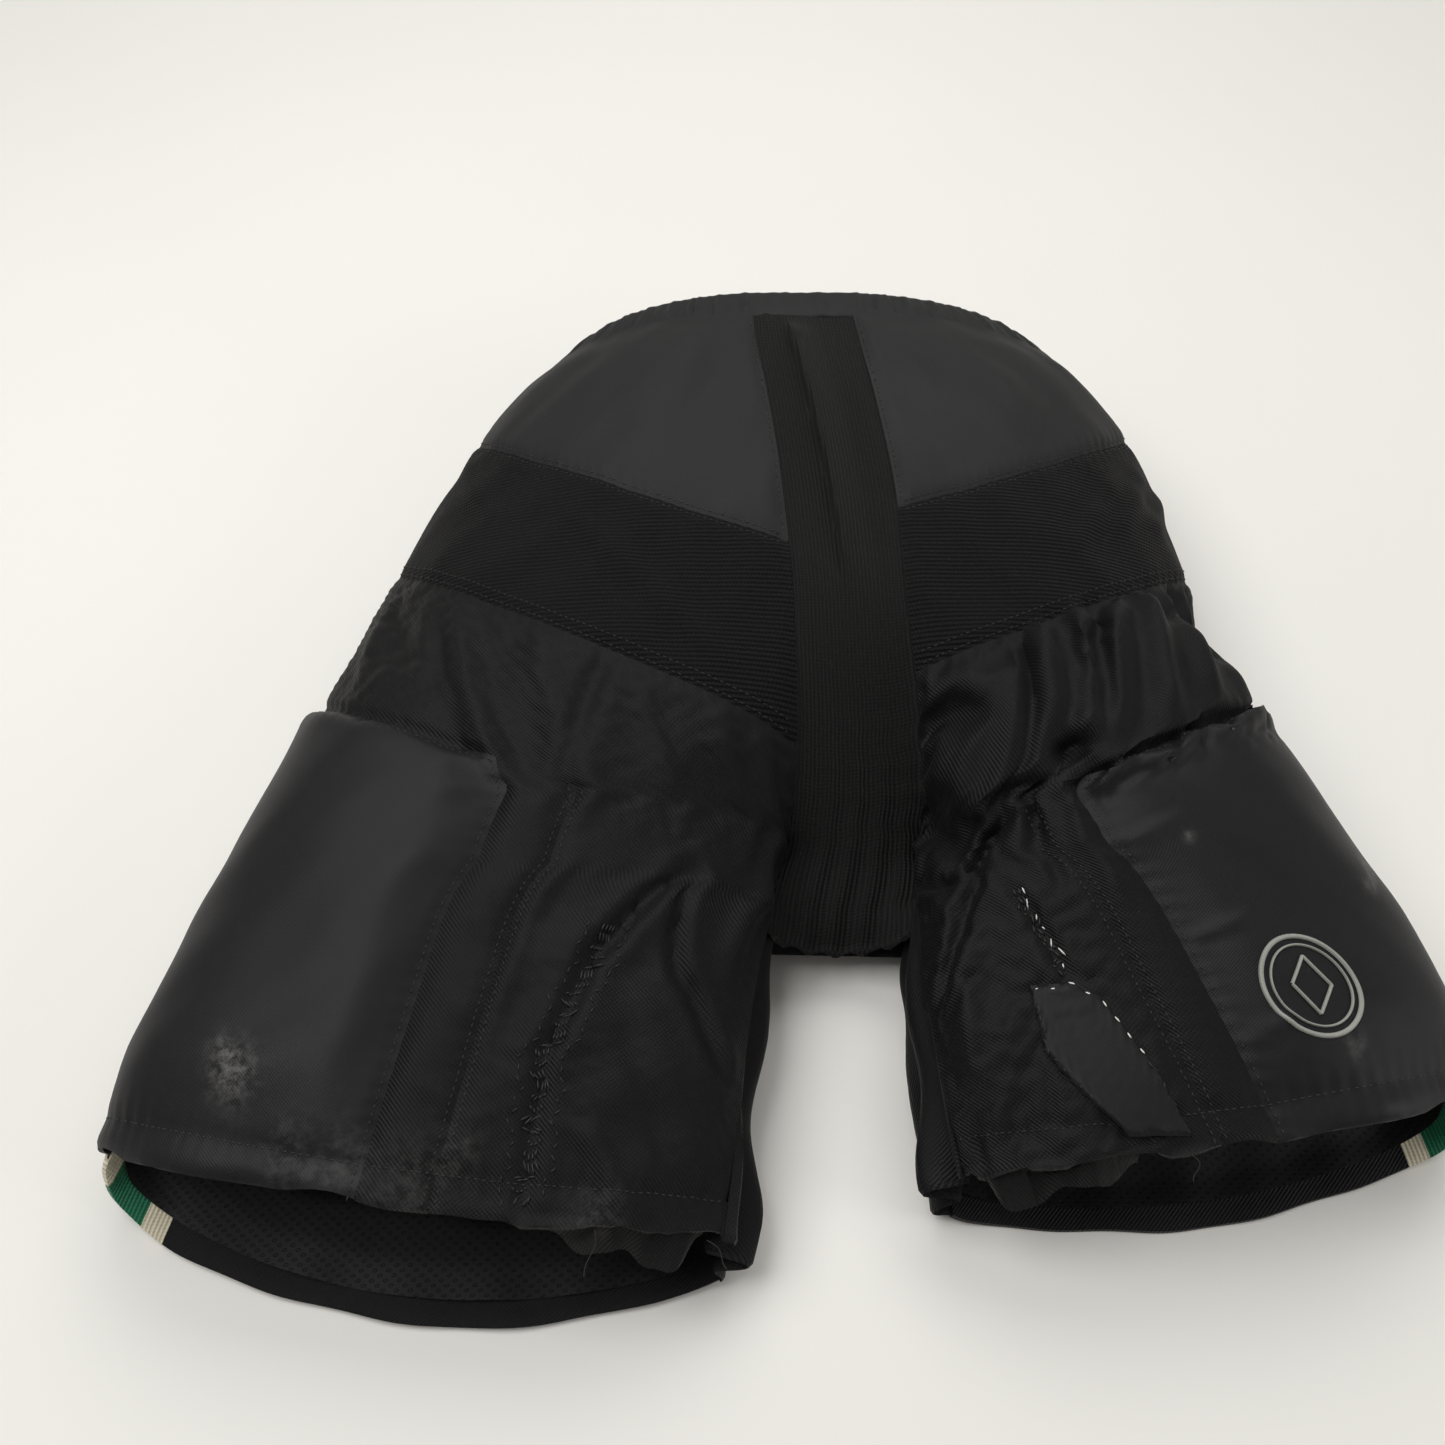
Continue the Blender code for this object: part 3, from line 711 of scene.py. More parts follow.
# %% Woven and knitted cloth
def cloth_material(name, weave, dark, light, roughness, depth, weave_shade_weight=0.28, sheen=0.04, holes=None,
                   gloss=0.24):
    """Cloth whose weave is drawn by weave(tree, mm). dark and light are its colour with painted shade in the hollows
    of the weave and painted light on its crests.
    """
    made, tree, shader = new_material(name)
    uv = add(tree, "ShaderNodeUVMap", {"uv_map": "cloth"}).outputs["UV"]
    mm = add(tree, "ShaderNodeVectorMath", {"operation": "SCALE", "Scale": 1000.0}, {0: uv}).outputs["Vector"]
    height = weave(tree, mm)
    spot = add(tree, "ShaderNodeTexCoord").outputs["Object"]
    # Dye and handling vary over about 60 mm, fibres over 2 mm and dust over 8 mm.
    patches, flecks, dust = (
        add(tree, NOISE, {"Scale": scale, "Detail": detail, "Roughness": grain}, {"Vector": spot}).outputs["Fac"]
        for scale, detail, grain in ((17.0, 4.0, 0.5), (420.0, 2.0, 0.5), (120.0, 6.0, 0.7)))
    wear, scuff = (add(tree, "ShaderNodeAttribute", {"attribute_name": found}).outputs["Fac"]
                   for found in ("wear", "scuff"))
    # Painted shade and light: the hollows of the weave are darkened and its crests lightened; dye patches, fibres
    # and wear are then added as the cloth's own tone.
    weave_shade_and_tone = add(tree, MATH, {"operation": "MULTIPLY_ADD", 1: weave_shade_weight, 2: 0.07}, {0: height}).outputs[0]
    for share, source in ((0.50, patches), (0.36, flecks), (0.55, wear)):
        weave_shade_and_tone = add(tree, MATH, {"operation": "MULTIPLY_ADD", 1: share}, {0: source, 2: weave_shade_and_tone}).outputs[0]
    colour = add(tree, "ShaderNodeMix", {"data_type": "RGBA", "clamp_factor": False,
                 6: linear(dark), 7: linear(light)}, {0: weave_shade_and_tone}).outputs[2]
    if holes:
        # Painted shade: the holes are not cut but coloured near-black for the dark inside seen through them.
        holes_with_painted_shade = add(tree, "ShaderNodeMapRange", {"From Min": holes, "From Max": holes + 0.25},
                   {"Value": height}).outputs["Result"]
        colour = add(tree, "ShaderNodeMix", {"data_type": "RGBA", 7: linear("#050505")},
                     {0: holes_with_painted_shade, 6: colour}).outputs[2]
        height = add(tree, MATH, {"operation": "MULTIPLY", 1: -1.0}, {0: holes_with_painted_shade}).outputs[0]
    rubbed = add(tree, "ShaderNodeMapRange", {"From Min": 0.42, "From Max": 0.72, "To Max": 0.70},
                 {"Value": dust}).outputs["Result"]
    rubbed = add(tree, MATH, TIMES, {0: rubbed, 1: scuff}).outputs[0]
    colour = add(tree, "ShaderNodeMix", {"data_type": "RGBA", 7: linear("#7d7c79")},
                 {0: rubbed, 6: colour}).outputs[2]
    rough = add(tree, MATH, {"operation": "MULTIPLY_ADD", 1: 0.16, 2: roughness - 0.08},
                {0: patches}).outputs[0]
    rough = add(tree, MATH, {"operation": "MULTIPLY_ADD", 1: -0.10}, {0: wear, 2: rough}).outputs[0]
    woven = add(tree, "ShaderNodeBump", {"Strength": 1.0, "Distance": depth / 1000}, {"Height": height})
    fuzz = add(tree, "ShaderNodeBump", {"Strength": 0.25, "Distance": 0.0002},
               {"Height": flecks, "Normal": woven.outputs["Normal"]})
    tree.links.new(colour, shader.inputs["Base Color"])
    tree.links.new(rough, shader.inputs["Roughness"])
    tree.links.new(fuzz.outputs["Normal"], shader.inputs["Normal"])
    shader.inputs["Specular IOR Level"].default_value = gloss
    shader.inputs["Sheen Weight"].default_value = sheen
    shader.inputs["Sheen Roughness"].default_value = 0.45
    shader.inputs["IOR"].default_value = 1.53
    return made


FINISHES = {
    # Fine diagonal lines, with a dull shine on the crest of each fold.
    "twill": cloth_material("nylon twill", twill_weave, "#050506", "#101012", 0.58, 0.12, 0.18, 0.02,
                            gloss=0.15),
    # Smooth and a little silky, stretched over the pads.
    "pocket": cloth_material("close nylon over foam", plain_weave, "#0d0d0f", "#17171a", 0.50, 0.05, 0.14,
                             0.02, gloss=0.18),
    # Greyer and flatter, with no clear thread.
    "yoke": cloth_material("brushed nylon", plain_weave, "#0f1011", "#18191b", 0.62, 0.05, 0.12, 0.03),
    # The darkest cloth: open rows that hold shadow.
    "mesh": cloth_material("warp knit mesh", mesh_rows, "#010102", "#0a0a0c", 0.70, 0.35, 0.32, 0.02,
                           gloss=0.14),
    # Dull wales that run down the seat.
    "rib": cloth_material("rib knit", rib_rows, "#060606", "#181818", 0.74, 0.35, 0.30, 0.03, gloss=0.16),
    # Holes that read as rows of dots, coloured near-black as painted shade.
    "liner": cloth_material("holed liner mesh", oval_holes, "#09090b", "#161618", 0.55, 0.30, 0.10, 0.02,
                            0.42, gloss=0.14),
    # Firm ribs along the belt.
    "webbing": cloth_material("polyester webbing", web_ribs, "#0b0b0c", "#1e1e20", 0.60, 0.20),
    # Matt ribbed tapes, the only colour on the pants.
    "cream": cloth_material("cream tape", rib_rows, "#a39a80", "#e6dfca", 0.75, 0.22, 0.28, 0.2),
    "green": cloth_material("green tape", rib_rows, "#093a26", "#187a55", 0.70, 0.22, 0.28, 0.2),
    # A newer and smoother cloth than the twill round it.
    "patch": cloth_material("patch twill", plain_weave, "#0c0c0e", "#161618", 0.55, 0.03, 0.05, 0.02,
                            gloss=0.18),
}
print("cloths:", len(FINISHES))


# %% Thread, foam, moulded plastic and metal
def plain_material(name, dark, light, roughness, metallic=0.0, grain=900.0, depth=0.0001):
    """A material with grain: noise in its colour, its roughness and a little of its surface."""
    made, tree, shader = new_material(name)
    spot = add(tree, "ShaderNodeTexCoord").outputs["Object"]
    fine_noise = add(tree, NOISE, {"Scale": grain, "Detail": 3.0}, {"Vector": spot}).outputs["Fac"]
    broad = add(tree, NOISE, {"Scale": 35.0, "Detail": 2.0}, {"Vector": spot}).outputs["Fac"]
    half = add(tree, MATH, {"operation": "MULTIPLY", 1: 0.5}, {0: fine_noise}).outputs[0]
    mixed = add(tree, MATH, {"operation": "MULTIPLY_ADD", 1: 0.5}, {0: broad, 2: half}).outputs[0]
    colour = add(tree, "ShaderNodeMix", {"data_type": "RGBA", 6: linear(dark), 7: linear(light)}, {0: mixed})
    rough = add(tree, MATH, {"operation": "MULTIPLY_ADD", 1: 0.2, 2: roughness - 0.1}, {0: mixed}).outputs[0]
    raised = add(tree, "ShaderNodeBump", {"Strength": 0.6, "Distance": depth}, {"Height": fine_noise})
    tree.links.new(colour.outputs[2], shader.inputs["Base Color"])
    tree.links.new(rough, shader.inputs["Roughness"])
    tree.links.new(raised.outputs["Normal"], shader.inputs["Normal"])
    shader.inputs["Metallic"].default_value = metallic
    if not metallic:
        shader.inputs["IOR"].default_value = 1.5
    return made


FINISHES.update({
    # Spun threads, matt in black and in white, and silky in grey.
    "black thread": plain_material("black thread", "#0c0c0d", "#262628", 0.55),
    "white thread": plain_material("white thread", "#c9c8c2", "#efeee9", 0.60),
    "badge thread": plain_material("grey rayon thread", "#70726c", "#a0a19b", 0.45),
    # Dry and porous, with 1.5 mm cells.
    "foam": plain_material("closed cell foam", "#333336", "#4a4a4e", 0.92, 0.0, 650.0, 0.0003),
    # A soft gloss from the mould.
    "plastic": plain_material("moulded polyethylene", "#232325", "#303033", 0.38, 0.0, 300.0, 0.00008),
    # Bright plating with a faint grain.
    "steel": plain_material("nickel plated steel", "#a9a59d", "#cfccc4", 0.30, 1.0, 240.0, 0.00003),
})

# %% [markdown]
# ## Making a panel
# A panel starts as a flat bmesh grid. Each vertex is placed by a function of how far it is across and
# down the panel, the grid gets a UV map in metres for its weave, and Solidify gives it the thickness
# of the cloth. The turned hem is part of the same grid: it runs round the edge and back up inside.

# %% Where the cloth is rubbed pale
SPOTS = {
    "left": (
        (8.6, -0.232, 0.011, 1.0), (8.9, -0.222, 0.008, 0.8), (7.4, -0.272, 0.012, 0.4),
        (6.5, -0.276, 0.014, 0.30), (5.3, -0.286, 0.016, 0.25), (4.6, -0.272, 0.012, 0.2),
        (2.2, -0.300, 0.012, 0.3),
    ),
    "right": (
        (10.0, -0.114, 0.007, 0.9), (9.6, -0.125, 0.005, 0.5), (6.2, -0.104, 0.003, 0.6),
        (7.9, -0.217, 0.006, 0.4),
    ),
}


def rubbed_spots():
    """Scuffs and dried salt: each centre, its radius in metres and its strength."""
    for side, spots in SPOTS.items():
        for line, y, radius, strength in spots:
            yield skin_point(side, np.array([line]), np.array([y]), 0.0)[0], radius, strength


SCUFFS = list(rubbed_spots())


def scuffed(points):
    """How rubbed each point is, uneven round each spot."""
    total = np.zeros(len(points))
    for centre, radius, strength in SCUFFS:
        away = (points - centre) / (radius, radius * 1.3, radius * 1.3)
        total += strength * np.exp(-np.sum(away * away, axis=1))
    return np.clip(total, 0.0, 1.0)


# %% From a grid to a piece
def settle(made, angle=50):
    """Applies the modifiers, and shades smooth apart from edges sharper than the angle."""
    graph = bpy.context.evaluated_depsgraph_get()
    mesh = bpy.data.meshes.new_from_object(made.evaluated_get(graph), depsgraph=graph)
    made.modifiers.clear()
    made.data = mesh
    mesh.name = made.name
    mesh.shade_smooth()
    mesh.set_sharp_from_angle(angle=math.radians(angle))
    return made


def new_piece(name, mesh, finish):
    made = bpy.data.objects.new(name, mesh)
    made.data.materials.append(FINISHES[finish])
    bpy.context.scene.collection.objects.link(made)
    return made


def laid(name, place, size, finish, thickness=FABRIC, cell=CELL, closed=False):
    """A grid of cloth. place(across, down, lift) gives its points, its UVs in metres and its wear."""
    columns, rows = (max(2, round(length / cell)) for length in size)
    shape = bmesh.new()
    bmesh.ops.create_grid(shape, x_segments=columns, y_segments=rows, size=0.5)
    flat = np.array([(v.co.x + 0.5, 0.5 - v.co.y) for v in shape.verts])
    points, uvs, wear = place(flat[:, 0], flat[:, 1], np.zeros(len(flat)))
    uv_layer = shape.loops.layers.uv.new("cloth")
    wear_layer = shape.verts.layers.float.new("wear")
    scuff_layer = shape.verts.layers.float.new("scuff")
    rubbed = scuffed(points)
    for corner, point, worn, pale in zip(shape.verts, points, np.broadcast_to(wear, len(flat)), rubbed):
        corner.co = point
        corner[wear_layer] = worn
        corner[scuff_layer] = pale
    shape.verts.index_update()
    for face in shape.faces:
        for loop in face.loops:
            loop[uv_layer].uv = uvs[loop.vert.index]
    if closed:
        bmesh.ops.remove_doubles(shape, verts=shape.verts[:], dist=0.00002)
    shape.normal_update()
    half = np.array([0.5])
    middle = place(half, half, np.zeros(1))[0][0]
    outward = Vector(middle - place(half, half, np.full(1, -0.004))[0][0])
    nearest = min(shape.faces, key=lambda f: (f.calc_center_median() - Vector(middle)).length)
    if nearest.normal.dot(outward) < 0:
        bmesh.ops.reverse_faces(shape, faces=shape.faces[:])
    made = new_piece(name, mesh_of(shape, name), finish)
    if thickness:
        wall = made.modifiers.new("thickness", "SOLIDIFY")
        wall.thickness = thickness
        wall.offset = -1.0
    return settle(made)


def turned(distance, length, roll):
    """How far along, and how deep, a cloth is that turns round an edge: (past the edge, depth)."""
    past = np.maximum(distance - length, 0.0)
    angle = np.minimum(past / roll, math.pi)
    back_up = np.maximum(past - math.pi * roll, 0.0)
    return roll * np.sin(angle) - back_up, roll * (1 - np.cos(angle))


def front_relief(line, y):
    """The front lies on the floor, so it only has shallow waves, and none where it is pressed flat."""
    wave_height = 0.0012 * np.sin(y / 0.021 + line * 0.9) * np.sin(line * 1.3 + y / 0.05)
    return -np.abs(wave_height) * ease((line - SIDE_LINE) / 0.6)


def cloth_point(side, line, y, lift):
    """A point of the shell on either half, with the fine pull of the seams."""
    lift = lift + fine(side, line, y)
    if line.mean() <= SIDE_LINE:
        return skin_point(side, line, y, lift)
    points = form_point(side, line, y, lift + front_relief(line, y))
    points[:, 2] = np.maximum(points[:, 2], 0.0006)
    return points


def worn(side, line, y, low):
    """Wear of the cloth: most at the hem and on the seams, in uneven patches."""
    patchy = 0.5 + 0.5 * np.sin(line * 2.3 + y / 0.017) * np.sin(line * 5.1 - y / 0.043)
    hem = np.exp(-((y - low) / 0.010) ** 2)
    seam = np.exp(-((line - SIDE_LINE) * 0.028 / 0.004) ** 2) + np.exp(-(line * 0.028 / 0.004) ** 2)
    for name in ("yoke", "band", "fold"):
        seam = seam + 0.5 * np.exp(-((y - cut(side, name)(line)) / 0.004) ** 2)
    return np.clip(0.9 * hem * patchy + 0.35 * seam * patchy, 0.0, 1.0)


def shell_panel(name, side, first, last, top, low, finish, turn=0.0, roll=ROLL, cell=CELL):
    """A panel of the shell between two lines and two cuts, with its lower edge turned up by turn."""
    first_at, last_at = border(first), border(last)
    middle = np.array([(first_at(0.5) + last_at(0.5)) / 2])
    length = float((top(middle) - low(middle))[0])
    spread = float(last_at(0.5) - first_at(0.5))
    across_size = max(spread, float(last_at(1.0) - first_at(1.0))) * 0.031
    edge = roll if turn else 0.0

    def place(across, down, raised):
        if turn:
            share = down * (length + math.pi * roll + turn)
            past, depth = turned(share, length, roll)
            down_share = np.clip(share / length, 0.0, 1.0)
        else:
            past, depth, down_share = 0.0, 0.0, down
        line = first_at(down_share) + (last_at(down_share) - first_at(down_share)) * across
        bottom = low(line) + (edge + hem_wave(side, line) if turn else 0.0)
        y = top(line) + (bottom - top(line)) * down_share - past
        points = cloth_point(side, line, y, raised - depth)
        wear = worn(side, line, y, bottom if turn else -9.0)
        run = line * LINE_WIDTH[side] * FORM[side]["sign"]
        return points, np.stack([run, y], axis=1), wear * (depth < 0.002)

    size = (across_size, length + (math.pi * roll + turn if turn else 0.0) + abs(float(
        (top(middle + spread / 2) - top(middle - spread / 2))[0])) * 0.3)
    return laid(name, place, size, finish, cell=cell)

# %% [markdown]
# ## Which body a panel follows
# The hip section tips about a line across the front, and each leg swings from the crotch. Panels that
# cross such a joint are stretch or gathered cloth; for them only the span of a blend, square to their
# slanted seams, is worked out and printed, and they ride on no body. All others ride on one.

# %% Riding, and the span of a blend
def dress(piece, finish, *nodes):
    if nodes:
        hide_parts(*nodes)


def ride(piece, body, finish, *nodes):
    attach(piece, body)
    dress(piece, finish, *nodes)


def blend_cloth(piece, side, upper, lower, finish, *nodes):
    """Works out and prints the span of a blend across the hip fold or the top of a leg, square to its slanted seams;
    the panel stays in place and rides on no body.
    """
    names = {"hips": ("yoke", "band"), "seat": ("band", "fold")}[upper]
    ends_of = [form_point(side, np.array([0.0, 12.0]), cut(side, name)(np.array([0.0, 12.0])), 0.0)
               for name in names]
    seam = Vector(sum(points[1] - points[0] for points in ends_of))
    direction = Vector((seam.y, -seam.x, 0.0)).normalized()
    if direction.y > 0:
        direction.negate()
    starts, ends = [], []
    for line in (0.0, 3.0, 6.0, 9.0, 12.0):
        for cut_name, found in zip(names, (starts, ends)):
            spot = form_point(side, np.array([line]), cut(side, cut_name)(np.array([line])), 0.0)[0]
            found.append(Vector(spot).dot(direction))
    first, last = max(starts) + 0.002, min(ends) - 0.002
    if last - first < 0.02:
        middle = (first + last) / 2
        first, last = middle - 0.010, middle + 0.010
    print(f"{piece.name}: blend over {1000 * (last - first):.0f} mm")
    start, end = (direction * (reach / direction.length_squared) for reach in (first, last))
    tuple(start)
    tuple(end)
    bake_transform(piece)
    dress(piece, finish, *nodes)


# %% The hip section
def make_hip_panels(side):
    waist, yoke, band = cut(side, "waist"), cut(side, "yoke"), cut(side, "band")
    for name, first, last, cell in (("yoke", 0, 12, CELL), ("front_hip", 12, 24, FRONT_CELL)):
        piece = shell_panel(f"{name}_{side}_cloth", side, first, last, waist, yoke, "yoke", cell=cell)
        ride(piece, "hips", "yoke", f"{name}_{side}")
    for name, first, last, cell in (("stretch_band", 0, 12, CELL), ("front_band", 12, 24, FRONT_CELL)):
        piece = shell_panel(f"{name}_{side}_cloth", side, first, last, yoke, band, "mesh", cell=cell)
        blend_cloth(piece, side, "hips", "seat", "mesh", f"{name}_{side}")


for side in SIDES:
    make_hip_panels(side)


# %% The leg panels
HEM_TURN = 0.018


def make_leg_panels(side):
    band, fold = cut(side, "band"), cut(side, "fold")
    hem_back, hem_front = cut(side, "hem_back"), cut(side, "hem_front")
    channel, pocket = slanted(CHANNEL_LINES[side]), slanted(POCKET_LINES[side])
    leg = f"{side}_leg"
    for name, first, last, cell in (("thigh_gather", 0, 12, 0.0030), ("front_gather", 12, 24, FRONT_CELL)):
        piece = shell_panel(f"{name}_{side}_cloth", side, first, last, band, fold, "twill", cell=cell)
        blend_cloth(piece, side, "seat", leg, "twill", f"{name}_{side}")
    backs = (("back_leg", 0, channel, "twill"), ("channel_cover", channel, pocket, "twill"),
             ("pad_pocket", pocket, 12, "pocket"))
    for name, first, last, finish in backs:
        piece = shell_panel(f"{name}_{side}_cloth", side, first, last, fold, hem_back, finish, turn=HEM_TURN)
        ride(piece, leg, finish, f"{name}_{side}")
    fronts = (("stripe_cream_outer", 12, 12.5, "cream"), ("stripe_green", 12.5, 13.5, "green"),
              ("stripe_cream_inner", 13.5, 14, "cream"), ("front_leg", 14, 24, "twill"))
    for name, first, last, finish in fronts:
        piece = shell_panel(f"{name}_{side}_cloth", side, first, last, fold, hem_front, finish,
                            turn=HEM_TURN, roll=0.0022, cell=FRONT_CELL if name == "front_leg" else CELL)
        ride(piece, leg, finish, f"{name}_{side}")


for side in SIDES:
    make_leg_panels(side)


# %% The inner side of each leg
def make_inner_leg(side):
    """The inner wall of a leg, loose cloth that sags in long folds, with its hem turned up."""
    top_y = float(cut(side, "fold")(np.zeros(1))[0]) + 0.004
    low_back = float(cut(side, "hem_back")(np.zeros(1))[0])
    low_front = float(cut(side, "hem_front")(np.full(1, FRONT_LINE))[0])
    length, roll = top_y - low_back, ROLL

    def place(across, down, raised):
        share = down * (length + math.pi * roll + HEM_TURN)
        past, depth = turned(share, length, roll)
        low = low_back + (low_front - low_back) * across + roll
        y = top_y + (low - top_y) * np.clip(share / length, 0.0, 1.0) - past
        edges = ease(across / 0.12) * ease((1 - across) / 0.12)
        folds = 0.0045 * np.sin(across * 11.0 + y / 0.060 + (0.0 if side == "left" else 2.0))
        folds = folds + 0.0025 * np.sin(y / 0.014 + across * 5.0) * ease((top_y - y) / 0.05)
        near_hem = ease((low + 0.075 - y) / 0.06)
        folds = folds + 0.0065 * near_hem * np.sin(across * 13.0 + (0.5 if side == "left" else 2.5))
        lift = edges * (folds - 0.003) + creases(across * 3.0, y, 0.03, 2.0) + raised - depth
        points = wall_point(side, across, y, lift)
        points[:, 2] = np.maximum(points[:, 2], 0.0006)
        wear = np.exp(-((y - low) / 0.010) ** 2) * 0.6 * (depth < 0.002)
        return points, np.stack([across * 0.08, y], axis=1), wear

    piece = laid(f"inner_leg_{side}_cloth", place, (0.085, length + 0.023), "twill")
    ride(piece, f"{side}_leg", "twill", f"inner_leg_{side}")


for side in SIDES:
    make_inner_leg(side)

# %% [markdown]
# ## The seat strip and the crotch
# A rib knit strip joins the two sides down the seat. It has a pleat near the waist, and it is
# gathered where it dives between the legs. Its two edges follow the seams of the sides, and its middle
# hangs a little lower, so it is laid between the two seams instead of on the form.

# %% The strip
STRIP_END = CROTCH_Y - 0.003


def strip_height(y):
    """Height of the middle of the strip: level with the hips, then down into the crotch."""
    crown = np.array([smooth(value, CROWN) for value in y])
    share = np.clip((0.09 - y) / (0.09 - CROTCH_Y), 0.0, 1.0) ** 1.6
    top = smooth(0.09, CROWN) - 0.0035
    return np.where(y > 0.09, crown - 0.0035, top * (1 - share) + 0.027 * share)


def strip_point(across, y, lift):
    """A point of the strip; its edges, from -0.06 and to 1.06 across, run in under the side panels."""
    zero = np.zeros_like(y)
    left, right = skin_point("left", zero, y, zero - 0.001), skin_point("right", zero, y, zero - 0.001)
    points = left + (right - left) * across[:, None]
    beyond = np.maximum(np.abs(across - 0.5) - 0.5, 0.0) / 0.06
    bell = np.sin(np.clip(across, 0.0, 1.0) * math.pi) ** 0.5
    sag = (points[:, 2] - strip_height(y)) * bell
    pleat_at = 0.30 + 0.16 * np.clip((0.30 - y) / 0.26, 0.0, 1.0)
    fades = ease((0.305 - y) / 0.03) * ease((y - 0.04) / 0.08)
    pleat = 0.0085 * fades * (ease((across - pleat_at) / 0.03) - ease((across - pleat_at) / 0.35))
    gather = ease((0.02 - y) / 0.12) * 0.0022 * np.sin(across * 31.0 + np.sin(y / 0.03))
    soft = 0.0012 * np.sin(y / 0.045 + across * 4.0) * bell
    edge_pull = 0.0008 * np.exp(-(np.minimum(across, 1 - across) / 0.05) ** 2) + 0.0022 * beyond
    edge_pull = edge_pull + 0.012 * bell * ease((0.07 - y) / 0.10) * ease((y + 0.125) / 0.05)
    points[:, 2] += -sag + pleat + gather * bell + soft - edge_pull + lift
    return points


def make_strip():
    top = 0.309

    def place(across, down, raised):
        y = top + (STRIP_END - top) * down
        across = across * 1.12 - 0.06
        points = strip_point(across, y, raised)
        wear = 0.3 * np.exp(-((across - 0.5) / 0.2) ** 2) * ease((y - 0.02) / 0.2)
        return points, np.stack([across * 0.072, y], axis=1), wear

    piece = laid("seat_strip_cloth", place, (0.085, 0.45), "rib", cell=0.0022)
    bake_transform(piece)
    dress(piece, "rib", "seat_strip")


make_strip()


# %% The crotch gusset and the front seam strip
def make_gusset():
    """The gathered end of the seat strip, which turns down to the floor between the legs."""

    def place(across, down, raised):
        y = np.full_like(across, STRIP_END)
        top = strip_point(across, y, np.zeros_like(y))
        turn = down * math.pi / 2
        points = top.copy()
        squeeze = 1 - 0.25 * down
        middle = smooth(STRIP_END, MIDDLE)
        points[:, 0] = middle + (top[:, 0] - middle) * squeeze
        points[:, 2] = 0.0012 + (top[:, 2] - 0.0012) * np.cos(turn)
        out = 0.005 * np.sin(down * math.pi) + 0.0025 * np.sin(across * 31.0) * np.sin(down * math.pi)
        points[:, 1] = top[:, 1] - out - raised + 0.030 * down * down
        return points, np.stack([across * 0.07, -down * 0.06], axis=1), np.zeros(len(across))

    piece = laid("crotch_gusset_cloth", place, (0.075, 0.06), "rib", cell=0.0024)
    ride(piece, "seat", "rib", "crotch_gusset")


def seam_strip(name, top, low, body, finish):
    """A strip between the two front seams, on the floor side."""

    def place(across, down, raised):
        y = top + (low - top) * down
        line = np.full_like(y, FRONT_LINE)
        left, right = form_point("left", line, y, 0.0), form_point("right", line, y, 0.0)
        points = left + (right - left) * across[:, None]
        fold_edge = 0.0008 * np.exp(-((across - 0.62) / 0.03) ** 2)
        points[:, 2] = np.maximum(points[:, 2], 0.0) + 0.0012 + fold_edge - raised
        return points, np.stack([across * 0.07, y], axis=1), 0.2 * fold_edge / 0.0008

    ride(laid(f"{name}_cloth", place, (0.07, top - low), finish, cell=0.004), body, finish, name)


make_gusset()
seam_strip("front_rise", FOLD_Y - 0.004, -0.128, "seat", "twill")
seam_strip("fly_facing", 0.306, FOLD_Y - 0.002, "hips", "twill")

# %% [markdown]
# ## The waistband
# The waistband is an elastic casing: a tube of cloth pressed flat, gathered by the elastic inside it,
# with a row of stitching along it. It is open at the fly, where the belt runs out of it.

# %% The band round the waist
WAIST_Y, WAISTBAND = 0.309, 0.030


def waist_path(share, y, lift):
    """A point on the waistband: share runs from the fly, over the left side and the back, to the fly."""
    last = 22.4
    bridge = 0.055
    half = 0.5 - bridge / 2
    line = last * np.where(share < half, 1 - share / half, (share - 0.5 - bridge / 2) / half)
    line = np.clip(line, 0.0, last)
    points_left, points_right = form_point("left", line, y, lift), form_point("right", line, y, lift)
    t = np.clip((share - 0.5 + bridge / 2) / bridge, 0.0, 1.0)[:, None]
    return points_left * (1 - t) + points_right * t


def make_waistband():
    overlap = 0.0022  # how far the casing runs down over the panels
    half_height, half_thick = WAISTBAND / 2 - 0.0006 + overlap, 0.0030

    def place(across, down, raised):
        angle = down * 2 * math.pi
        gathers = 0.0009 * np.sin(across * 640 + 2 * np.sin(across * 90)) + 0.0006 * np.sin(across * 273)
        squeeze = 1 - 0.14 * np.exp(-((np.abs(np.cos(angle)) - 0.35) / 0.12) ** 2)
        ends = ease(across / 0.008) * ease((1 - across) / 0.008)
        tall = np.copysign(np.abs(np.cos(angle)) ** 0.8, np.cos(angle))
        y = WAIST_Y + WAISTBAND / 2 - overlap + half_height * tall * (1 - 0.1 * (1 - ends))
        thick = np.copysign(np.abs(np.sin(angle)) ** 0.7, np.sin(angle)) * half_thick * squeeze
        lift = thick * (0.25 + 0.75 * ends) - 0.0032 + gathers * np.maximum(np.sin(angle), -0.3) + raised
        points = waist_path(across, y, lift)
        points[:, 2] = np.maximum(points[:, 2], 0.0004)
        return points, np.stack([across * 0.95, down * 0.066], axis=1), 0.25 * np.abs(np.cos(angle)) ** 6

    piece = laid("waistband_casing", place, (0.95, 0.066), "yoke", thickness=0.0, cell=0.0030, closed=True)
    ride(piece, "hips", "yoke", "waistband")


make_waistband()

# %% [markdown]
# ## The lining and the padding inside
# Through the leg openings one sees a holed mesh lining. It is sewn in under the turned hem and drops
# behind the pads further in. The foam pads and the caps are inside the cloth; they are modelled
# because they fill it and because the openings let a little of them be seen.

